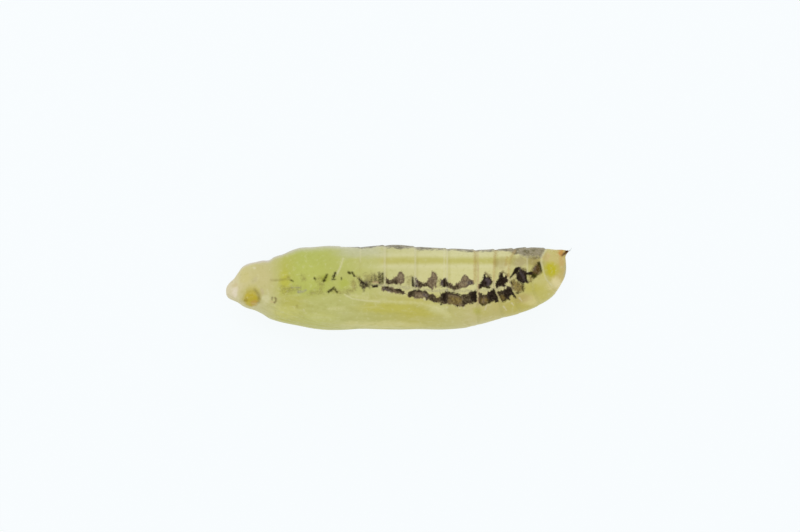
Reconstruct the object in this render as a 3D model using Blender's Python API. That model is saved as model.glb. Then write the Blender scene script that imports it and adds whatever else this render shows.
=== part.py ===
"""A moth pupa, lying on its right side as one solid.

Head towards -X, tail towards +X, back towards +Y, belly towards -Y, left side up.
Every size is in millimetres until the mesh is made, which is in metres.
"""

import math
from dataclasses import dataclass

import bmesh
import bpy
import numpy as np

MM = 0.001

# The pupa lies pressed on the leaf or table by this much, which leaves a narrow flat on its right side.
PRESSED_FLAT = 0.16

# Half-ring of the body: lines run from the middle of the belly (0) to the middle of the back (last).
LINES_A_SIDE = 22
LINE_OF = {"proboscis": 2, "fore leg": 4, "mid leg": 6, "antenna": 8, "wing": 13, "beyond wing": 14}
LONGEST_STEP = 0.34
SHORTEST_STEP = 0.04
EYE_STEP = 0.17

CASE_COLOUR = (0.50, 0.52, 0.15, 1.0)
CASE_ROUGHNESS = 0.42


@dataclass(frozen=True)
class Rib:
    """One cross-section: where it meets the back and the belly, and how wide it is to each side."""

    name: str
    back: tuple
    belly: tuple
    half_width: float
    seam: float = 0.0
    bow: float = 0.0


# x runs from the tip of the head, and y up from the middle of the side.
# seam is the depth of the groove behind a segment, and bow how far it swings headwards on the side.
RIBS = (
    Rib("tip of head", (0.00, -0.20), (0.00, -0.20), 0.00),
    Rib("nose", (0.04, 0.06), (0.05, -0.46), 0.30),
    Rib("brow", (0.23, 0.33), (0.24, -0.65), 0.52),
    Rib("brow notch", (0.46, 0.54), (0.50, -0.76), 0.70),
    Rib("crown", (0.73, 0.93), (0.77, -0.90), 0.88),
    Rib("crown top", (0.99, 1.26), (1.02, -1.08), 1.03),
    Rib("eyes", (1.31, 1.43), (1.31, -1.20), 1.15),
    Rib("neck", (1.66, 1.51), (1.66, -1.30), 1.27),
    Rib("shield", (2.13, 1.61), (2.13, -1.52), 1.43),
    Rib("shield rear", (2.54, 1.64), (2.54, -1.76), 1.60),
    Rib("collar", (2.89, 1.86), (2.89, -1.87), 1.75, seam=0.015),
    Rib("shoulder", (3.30, 1.97), (3.30, -1.98), 1.88),
    Rib("fore thorax", (3.77, 2.18), (3.77, -2.08), 2.02),
    Rib("thorax top", (4.29, 2.35), (4.29, -2.18), 2.15),
    Rib("mid thorax", (5.05, 2.40), (5.05, -2.33), 2.29),
    Rib("thorax", (5.93, 2.45), (5.93, -2.42), 2.38),
    Rib("hind thorax", (6.75, 2.42), (6.80, -2.42), 2.42),
    Rib("segment 1", (7.86, 2.41), (7.86, -2.36), 2.44, seam=0.02),
    Rib("segment 2", (9.30, 2.52), (9.30, -2.39), 2.45, seam=0.04),
    Rib("middle of 2", (10.20, 2.53), (10.20, -2.40), 2.45),
    Rib("segment 3", (11.08, 2.44), (11.08, -2.38), 2.43, seam=0.04),
    Rib("segment 4", (12.95, 2.33), (12.95, -2.39), 2.37, seam=0.04),
    Rib("middle of 4", (13.71, 2.30), (13.83, -2.32), 2.31),
    Rib("segment 5", (14.59, 2.25), (14.71, -2.18), 2.22, seam=0.05, bow=0.03),
    Rib("segment 6", (15.76, 2.28), (16.17, -1.77), 2.04, seam=0.05, bow=0.20),
    Rib("segment 7", (16.84, 2.34), (17.22, -1.49), 1.82, seam=0.05, bow=0.42),
    Rib("segment 8", (17.63, 2.39), (18.33, -1.03), 1.55, seam=0.04, bow=0.26),
    Rib("segment 9", (18.71, 2.34), (19.36, -0.25), 1.17, seam=0.04, bow=0.48),
    Rib("segment 10", (19.04, 2.28), (19.66, 0.24), 0.94, bow=0.30),
    Rib("vent", (19.33, 2.25), (19.88, 0.70), 0.70, bow=0.15),
    Rib("blunt end", (19.56, 2.25), (19.95, 1.18), 0.48),
    Rib("end corner", (19.68, 2.25), (19.93, 1.58), 0.32),
    Rib("cremaster base", (19.77, 2.24), (19.91, 1.80), 0.20),
    Rib("cremaster", (19.89, 2.22), (19.96, 1.96), 0.12),
    Rib("cremaster end", (20.00, 2.20), (20.05, 2.08), 0.06),
    Rib("bristles", (20.12, 2.25), (20.15, 2.19), 0.03),
    Rib("bristle tips", (20.30, 2.39), (20.30, 2.39), 0.00),
)

# Edges of the cases that lie along the belly, as (x, girth). Girth is -1 on the belly's middle line, 0 on the
# side and 1 on the back's middle line.
EDGES = {
    "proboscis": ((2.6, -0.90), (4.0, -0.925), (8.0, -0.935), (12.0, -0.94), (14.3, -0.95)),
    "fore leg": ((2.6, -0.66), (4.0, -0.76), (6.0, -0.83), (8.0, -0.895), (8.8, -0.92), (14.3, -0.93)),
    "mid leg": ((2.6, -0.44), (4.0, -0.58), (6.0, -0.72), (8.4, -0.84), (11.6, -0.89), (14.3, -0.90)),
    "antenna": (
        (2.6, -0.25), (3.8, -0.45), (4.7, -0.55), (6.7, -0.68), (8.4, -0.76), (11.0, -0.81), (14.3, -0.85),
    ),
    "wing": (
        (2.6, 0.12), (4.1, 0.07), (4.9, 0.05), (6.1, -0.03), (6.9, -0.11), (7.4, -0.165), (8.4, -0.205),
        (10.2, -0.235), (11.7, -0.255), (12.5, -0.32), (13.2, -0.45), (13.9, -0.62), (14.3, -0.80),
    ),
    "hind wing": ((6.4, -0.06), (7.4, -0.06), (9.1, -0.065), (10.2, -0.11), (11.1, -0.163), (12.1, -0.29)),
}

# Stretches of x over which the lines gather along the cases and spread out again, over which the cases rise and
# end, and over which the seams come out from under the cases.
LINES_GATHER = (1.4, 3.0)
LINES_SPREAD = (14.3, 17.3)
WING_RISES = (2.6, 4.2)
WING_ENDS = (14.2, 14.45)
HIND_WING_RISES = (6.4, 7.0)
HIND_WING_ENDS = (11.7, 12.1)
LIMBS_RISE = (2.0, 3.0)
LIMBS_END = (14.0, 14.5)
SEAMS_BARE = (14.3, 14.4)

# Girth over which the wing's edge falls to the body, and over which the softer edges do.
BEYOND_WING = 0.035
SOFT_EDGE = 0.02
WING_HEIGHT = 0.06
HIND_WING_HEIGHT = 0.03
LIMB_HEIGHT = 0.06
LIMB_GROOVE = 0.02

# The shape of a seam: its lip as a share of its depth, and how far lip and groove reach ahead and behind.
SEAM_LIP = 0.35
LIP_AHEAD = 0.12
GROOVE_AHEAD = 0.05
GROOVE_BEHIND = 0.20

EYE_CENTRE = (1.53, -0.64)
EYE_RADIUS = 0.46
EYE_HEIGHT = 0.16

# The rear edge of the thorax shield on the side, as (height, x); how far it stands above what follows, half the
# length of that step, how far ahead of it the shield sinks back, and the heights between which it comes up.
SHIELD_EDGE = ((-0.2, 6.0), (0.9, 6.55), (1.7, 6.88), (2.45, 6.70))
SHIELD_STEP = 0.035
SHIELD_STEP_HALF = 0.06
SHIELD_FADES = (0.2, 1.6)
SHIELD_SIDE = (-0.3, 0.4)

# All relief fades in over this length behind the head's tip, and is gone this near to the tail's end.
HEAD_FADE = (0.0, 0.8)
TAIL_FADE = (0.8, 1.6)


def blend(low, high, value):
    """0 below low, 1 above high, and smooth between."""
    t = np.clip((value - low) / (high - low), 0.0, 1.0)
    return t * t * (3.0 - 2.0 * t)


def line_through(points, at):
    """Straight runs between points, read at any place."""
    places, values = zip(*points)
    return np.interp(at, places, values)


def curve_through(places, values, at):
    """A smooth curve through values at the given places, read at any place between them."""
    gaps = np.diff(places)
    slopes = np.diff(values) / gaps
    tangents = np.empty_like(values)
    tangents[1:-1] = (slopes[:-1] * gaps[1:] + slopes[1:] * gaps[:-1]) / (gaps[1:] + gaps[:-1])
    tangents[0] = slopes[0]
    tangents[-1] = slopes[-1]
    at = np.clip(at, places[0], places[-1])
    k = np.clip(np.searchsorted(places, at) - 1, 0, len(gaps) - 1)
    t = (at - places[k]) / gaps[k]
    rise = gaps[k] * (tangents[k] * t * (1 - t) ** 2 - tangents[k + 1] * t * t * (1 - t))
    return values[k] + (values[k + 1] - values[k]) * t * t * (3 - 2 * t) + rise


class Body:
    """The smooth body without its relief, read by how far along it a point lies and by its girth."""

    def __init__(self, ribs):
        back = np.array([rib.back for rib in ribs])
        belly = np.array([rib.belly for rib in ribs])
        runs = [np.linalg.norm(np.diff(side, axis=0), axis=1) for side in (back, belly)]
        self.places = np.concatenate([[0.0], np.cumsum((runs[0] + runs[1]) / 2)])
        self.columns = {
            "back x": back[:, 0],
            "back y": back[:, 1],
            "belly x": belly[:, 0],
            "belly y": belly[:, 1],
            "width": np.array([rib.half_width for rib in ribs]),
        }
        self.bows = np.array([rib.bow for rib in ribs])
        self.seams = [(place, rib.seam) for place, rib in zip(self.places, ribs) if rib.seam]

    def read(self, column, along):
        return curve_through(self.places, self.columns[column], along)

    def points(self, along, girth):
        """x, y and z of points of the left side, where z is the distance from the middle plane."""
        angle = girth * math.pi / 2
        place = along - np.interp(along, self.places, self.bows) * np.cos(angle) ** 2
        place = np.maximum(place, 0.0)
        back_x, back_y = self.read("back x", place), self.read("back y", place)
        belly_x, belly_y = self.read("belly x", place), self.read("belly y", place)
        up = (1 + np.sin(angle)) / 2
        x = belly_x + (back_x - belly_x) * up
        y = belly_y + (back_y - belly_y) * up
        return x, y, np.maximum(self.read("width", place), 0.0) * np.cos(angle)


def stations(body):
    """Places of the rings along the body: every rib, both lips of every seam, and no long gap."""
    found = set(body.places[1:-1])
    for place, _ in body.seams:
        found |= {place - LIP_AHEAD, place + GROOVE_BEHIND / 2, place + GROOVE_BEHIND + LIP_AHEAD}
    found = sorted(found)
    kept = [found[0]]
    for place in found[1:]:
        gap = place - kept[-1]
        if gap < SHORTEST_STEP:
            continue
        beside_eye = abs(place - gap / 2 - EYE_CENTRE[0]) < 2 * EYE_RADIUS
        pieces = math.ceil(gap / (EYE_STEP if beside_eye else LONGEST_STEP))
        kept += [kept[-1] + gap * (n + 1) / pieces for n in range(pieces)]
    return np.array(kept)


def girth_lines(body, along):
    """Girth of every line at every ring. Between head and wing tip the lines follow the edges of the cases."""
    lines = np.arange(LINES_A_SIDE + 1)
    even = -1 + 2 * lines / LINES_A_SIDE
    middle_x = (body.read("back x", along) + body.read("belly x", along)) / 2
    rings = []
    for x in middle_x:
        marks = [0]
        girths = [-1.0]
        for name in ("proboscis", "fore leg", "mid leg", "antenna", "wing"):
            marks.append(LINE_OF[name])
            girths.append(line_through(EDGES[name], x))
        marks += [LINE_OF["beyond wing"], LINES_A_SIDE]
        girths += [girths[-1] + BEYOND_WING, 1.0]
        followed = np.interp(lines, marks, girths)
        share = blend(*LINES_GATHER, x) * (1 - blend(*LINES_SPREAD, x))
        rings.append(even + (followed - even) * share)
    return np.array(rings)


def seam_relief(body, along, x, girth):
    """A lip at the rear of each segment and a groove behind it, wherever no case covers them."""
    relief = np.zeros_like(along)
    for place, depth in body.seams:
        past = along - place
        lip = SEAM_LIP * depth * np.exp(-(((past + LIP_AHEAD) / LIP_AHEAD) ** 2))
        width = np.where(past < 0, GROOVE_AHEAD, GROOVE_BEHIND)
        relief += lip - depth * np.exp(-((past / width) ** 2))
    edge = np.maximum(line_through(EDGES["wing"], x), hind_wing_edge(x))
    bare = np.maximum(blend(0.0, BEYOND_WING, girth - edge), blend(*SEAMS_BARE, x))
    return relief * bare


def hind_wing_edge(x):
    """Girth of the hind wing's edge, or -1 where there is no hind wing."""
    here = (x > HIND_WING_RISES[0]) & (x < HIND_WING_ENDS[1])
    return np.where(here, line_through(EDGES["hind wing"], x), -1.0)


def wing_relief(x, girth):
    """The raised fore wing case, with the narrow hind wing case showing above it."""
    edge = line_through(EDGES["wing"], x)
    inner = line_through(EDGES["antenna"], x)
    within = blend(-BEYOND_WING, 0.0, edge - girth) * blend(-SOFT_EDGE, SOFT_EDGE, girth - inner)
    ends = blend(*WING_RISES, x) * (1 - blend(*WING_ENDS, x))
    hind_within = blend(-SOFT_EDGE, SOFT_EDGE, hind_wing_edge(x) - girth) * blend(0.0, SOFT_EDGE, girth - edge)
    hind_ends = blend(*HIND_WING_RISES, x) * (1 - blend(*HIND_WING_ENDS, x))
    return WING_HEIGHT * within * ends + HIND_WING_HEIGHT * hind_within * hind_ends


def limb_relief(x, girth):
    """Rounded ridges for the proboscis, legs and antennae, side by side, with a groove at each edge."""
    relief = np.zeros_like(x)
    inner = np.full_like(x, -1.0)
    for name in ("proboscis", "fore leg", "mid leg", "antenna"):
        outer = line_through(EDGES[name], x)
        across = np.clip((girth - inner) / np.maximum(outer - inner, 1e-6), 0.0, 1.0)
        inside = (girth >= inner) & (girth <= outer)
        ridge = LIMB_HEIGHT * np.sqrt(np.maximum(np.sin(math.pi * across), 0.0)) - LIMB_GROOVE
        relief += np.where(inside, ridge, 0.0)
        inner = outer
    return relief * blend(*LIMBS_RISE, x) * (1 - blend(*LIMBS_END, x))


def eye_relief(x, y):
    """A round dome for each eye."""
    away = np.hypot(x - EYE_CENTRE[0], y - EYE_CENTRE[1]) / EYE_RADIUS
    return EYE_HEIGHT * np.sqrt(np.clip(1 - away**2, 0.0, 1.0))


def shield_relief(x, y):
    """The thorax shield ends in a low step behind the wing bases."""
    heights, edge_x = zip(*SHIELD_EDGE)
    ahead = np.interp(y, heights, edge_x) - x
    step = blend(-SHIELD_STEP_HALF, SHIELD_STEP_HALF, ahead) * (1 - blend(*SHIELD_FADES, ahead))
    return SHIELD_STEP * step * blend(*SHIELD_SIDE, y)


def surface(body):
    """Rings of points with their relief, without the two end points, and those end points."""
    rings = stations(body)
    girth = girth_lines(body, rings)
    along = np.repeat(rings[:, None], LINES_A_SIDE + 1, axis=1)
    x, y, z = body.points(along, girth)
    points = np.stack([x, y, z], axis=-1)
    along_step = np.gradient(points, axis=0)
    around_step = np.gradient(points, axis=1)
    around_step[:, 0] = around_step[:, -1] = (0.0, 0.0, 1.0)
    around_step[:, -1] *= -1
    normal = np.cross(along_step, around_step)
    normal /= np.maximum(np.linalg.norm(normal, axis=-1, keepdims=True), 1e-9)
    relief = seam_relief(body, along, x, girth) + wing_relief(x, girth) + limb_relief(x, girth)
    relief += eye_relief(x, y) + shield_relief(x, y)
    before_end = body.places[-1] - along
    relief *= blend(*HEAD_FADE, along) * blend(*TAIL_FADE, before_end)
    points += normal * relief[..., None]
    points[:, 0, 2] = points[:, -1, 2] = 0.0
    ends = [np.array([*rib.back, 0.0]) for rib in (RIBS[0], RIBS[-1])]
    return points, ends


def placed(point, box, side=1.0):
    """A point in metres: centred on the body's box along X and Y, with the right side on the ground."""
    low, high = box
    x = point[0] - (low[0] + high[0]) / 2
    y = point[1] - (low[1] + high[1]) / 2
    z = high[2] - PRESSED_FLAT + side * point[2]
    return (x * MM, y * MM, z * MM)


def make_mesh(points, ends):
    """One closed skin: the left half-rings joined to the right ones, and a fan at the head and at the tail."""
    everything = np.concatenate([points.reshape(-1, 3), np.array(ends)])
    box = everything.min(axis=0), everything.max(axis=0)
    bm = bmesh.new()
    loops = []
    for ring in points:
        left = [bm.verts.new(placed(point, box)) for point in ring]
        right = [bm.verts.new(placed(point, box, side=-1.0)) for point in ring[-2:0:-1]]
        loops.append(left + right)
    for front, rear in zip(loops, loops[1:]):
        for n in range(len(front)):
            m = (n + 1) % len(front)
            bm.faces.new((front[n], front[m], rear[m], rear[n]))
    for loop, end, turn in ((loops[0], ends[0], 1), (loops[-1], ends[1], -1)):
        tip = bm.verts.new(placed(end, box))
        for n in range(len(loop)):
            bm.faces.new((tip, loop[(n + 1) % len(loop)], loop[n])[::turn])
    flatten_underside(bm)
    bmesh.ops.triangulate(bm, faces=bm.faces)
    bmesh.ops.recalc_face_normals(bm, faces=bm.faces)
    mesh = bpy.data.meshes.new("pupa")
    bm.to_mesh(mesh)
    bm.free()
    return mesh


def flatten_underside(bm):
    """Cuts the skin level with the ground and closes it with the narrow flat that the pupa lies on."""
    whole = bm.verts[:] + bm.edges[:] + bm.faces[:]
    ground = {"plane_co": (0, 0, 0), "plane_no": (0, 0, -1)}
    cut = bmesh.ops.bisect_plane(bm, geom=whole, dist=1e-8, clear_outer=True, **ground)
    rim = [item for item in cut["geom_cut"] if isinstance(item, bmesh.types.BMEdge)]
    bmesh.ops.contextual_create(bm, geom=rim)


def case_material():
    """Yellow-green waxy skin."""
    material = bpy.data.materials.new("case")
    material.use_nodes = True
    shader = material.node_tree.nodes["Principled BSDF"]
    shader.inputs["Base Color"].default_value = CASE_COLOUR
    shader.inputs["Roughness"].default_value = CASE_ROUGHNESS
    shader.inputs["Metallic"].default_value = 0.0
    return material


def main():
    for old in list(bpy.data.objects):
        bpy.data.objects.remove(old)
    mesh = make_mesh(*surface(Body(RIBS)))
    mesh.materials.append(case_material())
    mesh.shade_smooth()
    pupa = bpy.data.objects.new("pupa", mesh)
    bpy.context.scene.collection.objects.link(pupa)


if __name__ == "__main__":
    main()
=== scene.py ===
"""The looks of a moth pupa lying on its right side: waxy green skin, ragged dark bands and a hooked tail.

Lengths are in millimetres until a mesh is made. x runs from the tip of the head towards the tail, y from
the middle of the side up to the back, and z out from the middle plane to either side. Marks are held in
pixels of the photograph, 800 x 532, and are read on the skin through the photograph's own perspective.
"""

import logging
import math
from collections.abc import Callable
from dataclasses import dataclass
from enum import Enum
from functools import partial

import bpy
import numpy as np
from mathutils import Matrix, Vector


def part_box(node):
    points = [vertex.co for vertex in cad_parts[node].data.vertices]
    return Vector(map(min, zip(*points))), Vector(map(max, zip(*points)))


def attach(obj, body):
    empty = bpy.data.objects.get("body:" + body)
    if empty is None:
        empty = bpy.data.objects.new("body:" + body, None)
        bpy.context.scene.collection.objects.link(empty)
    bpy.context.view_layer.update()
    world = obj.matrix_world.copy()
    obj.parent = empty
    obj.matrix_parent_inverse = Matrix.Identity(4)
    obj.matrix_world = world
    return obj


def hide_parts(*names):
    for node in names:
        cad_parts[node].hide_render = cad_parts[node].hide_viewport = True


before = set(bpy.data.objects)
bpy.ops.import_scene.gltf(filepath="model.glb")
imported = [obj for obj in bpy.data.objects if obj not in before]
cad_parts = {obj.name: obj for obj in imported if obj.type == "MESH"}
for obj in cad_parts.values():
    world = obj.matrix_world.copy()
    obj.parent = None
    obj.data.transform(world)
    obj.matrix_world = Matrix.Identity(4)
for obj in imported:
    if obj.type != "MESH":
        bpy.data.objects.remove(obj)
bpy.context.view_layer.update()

LOG = logging.getLogger("pupa")
MM = 0.001
TINY = 1e-9
Colour = tuple[int, int, int]
Point = tuple[float, float]
Place = tuple[float, float, float]
Measure = Callable[[np.ndarray, np.ndarray], np.ndarray]
EVEN: Place = (1.0, 1.0, 1.0)


class Tone(Enum):
    """Kinds of mark on the skin, in the order in which they are laid on."""

    GLEAM = "gleam"
    HAZE = "haze"
    GLOOM = "gloom"
    STRIP = "strip"
    MEMBRANE = "membrane"
    SABLE = "sable"
    TAUPE = "taupe"
    BROWN = "brown"
    FAWN = "fawn"
    KHAKI = "khaki"
    UMBER = "umber"
    PLUM = "plum"
    PURPLE = "purple"
    SMUDGE = "smudge"
    OLIVE = "olive"
    INK = "ink"
    LILAC = "lilac"
    FOLD = "fold"
    BLUSH = "blush"
    # pale membranes along the segment seams, with painted highlights on them and on the crease of the thorax
    PALE_LINE_AND_HIGHLIGHT = "pale line and highlight"
    BROWN_LINE = "brown line"
    RUST = "rust"
    # white specks: the breathing holes, and painted glints on the ridge under the bands, on the head and on
    # the wing
    SPIRACLE_AND_GLINT = "chalk"


@dataclass(frozen=True)
class Patch:
    """A mark with an outline of its own, in pixels of the photograph."""

    name: str
    outline: tuple[Point, ...]


@dataclass(frozen=True)
class Stroke:
    """A mark drawn as a line, with its width at its start and at its end, in pixels of the photograph."""

    name: str
    widths: Point
    route: tuple[Point, ...]


@dataclass(frozen=True)
class Zone:
    """A soft oval where the skin turns to another colour: centre and half-sizes in pixels of the photograph.

    firmness is the share of the oval over which its colour fades.
    """

    name: str
    centre: Point
    reach: Point
    colour: Colour
    strength: float = 1.0
    firmness: float = 0.35


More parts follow.
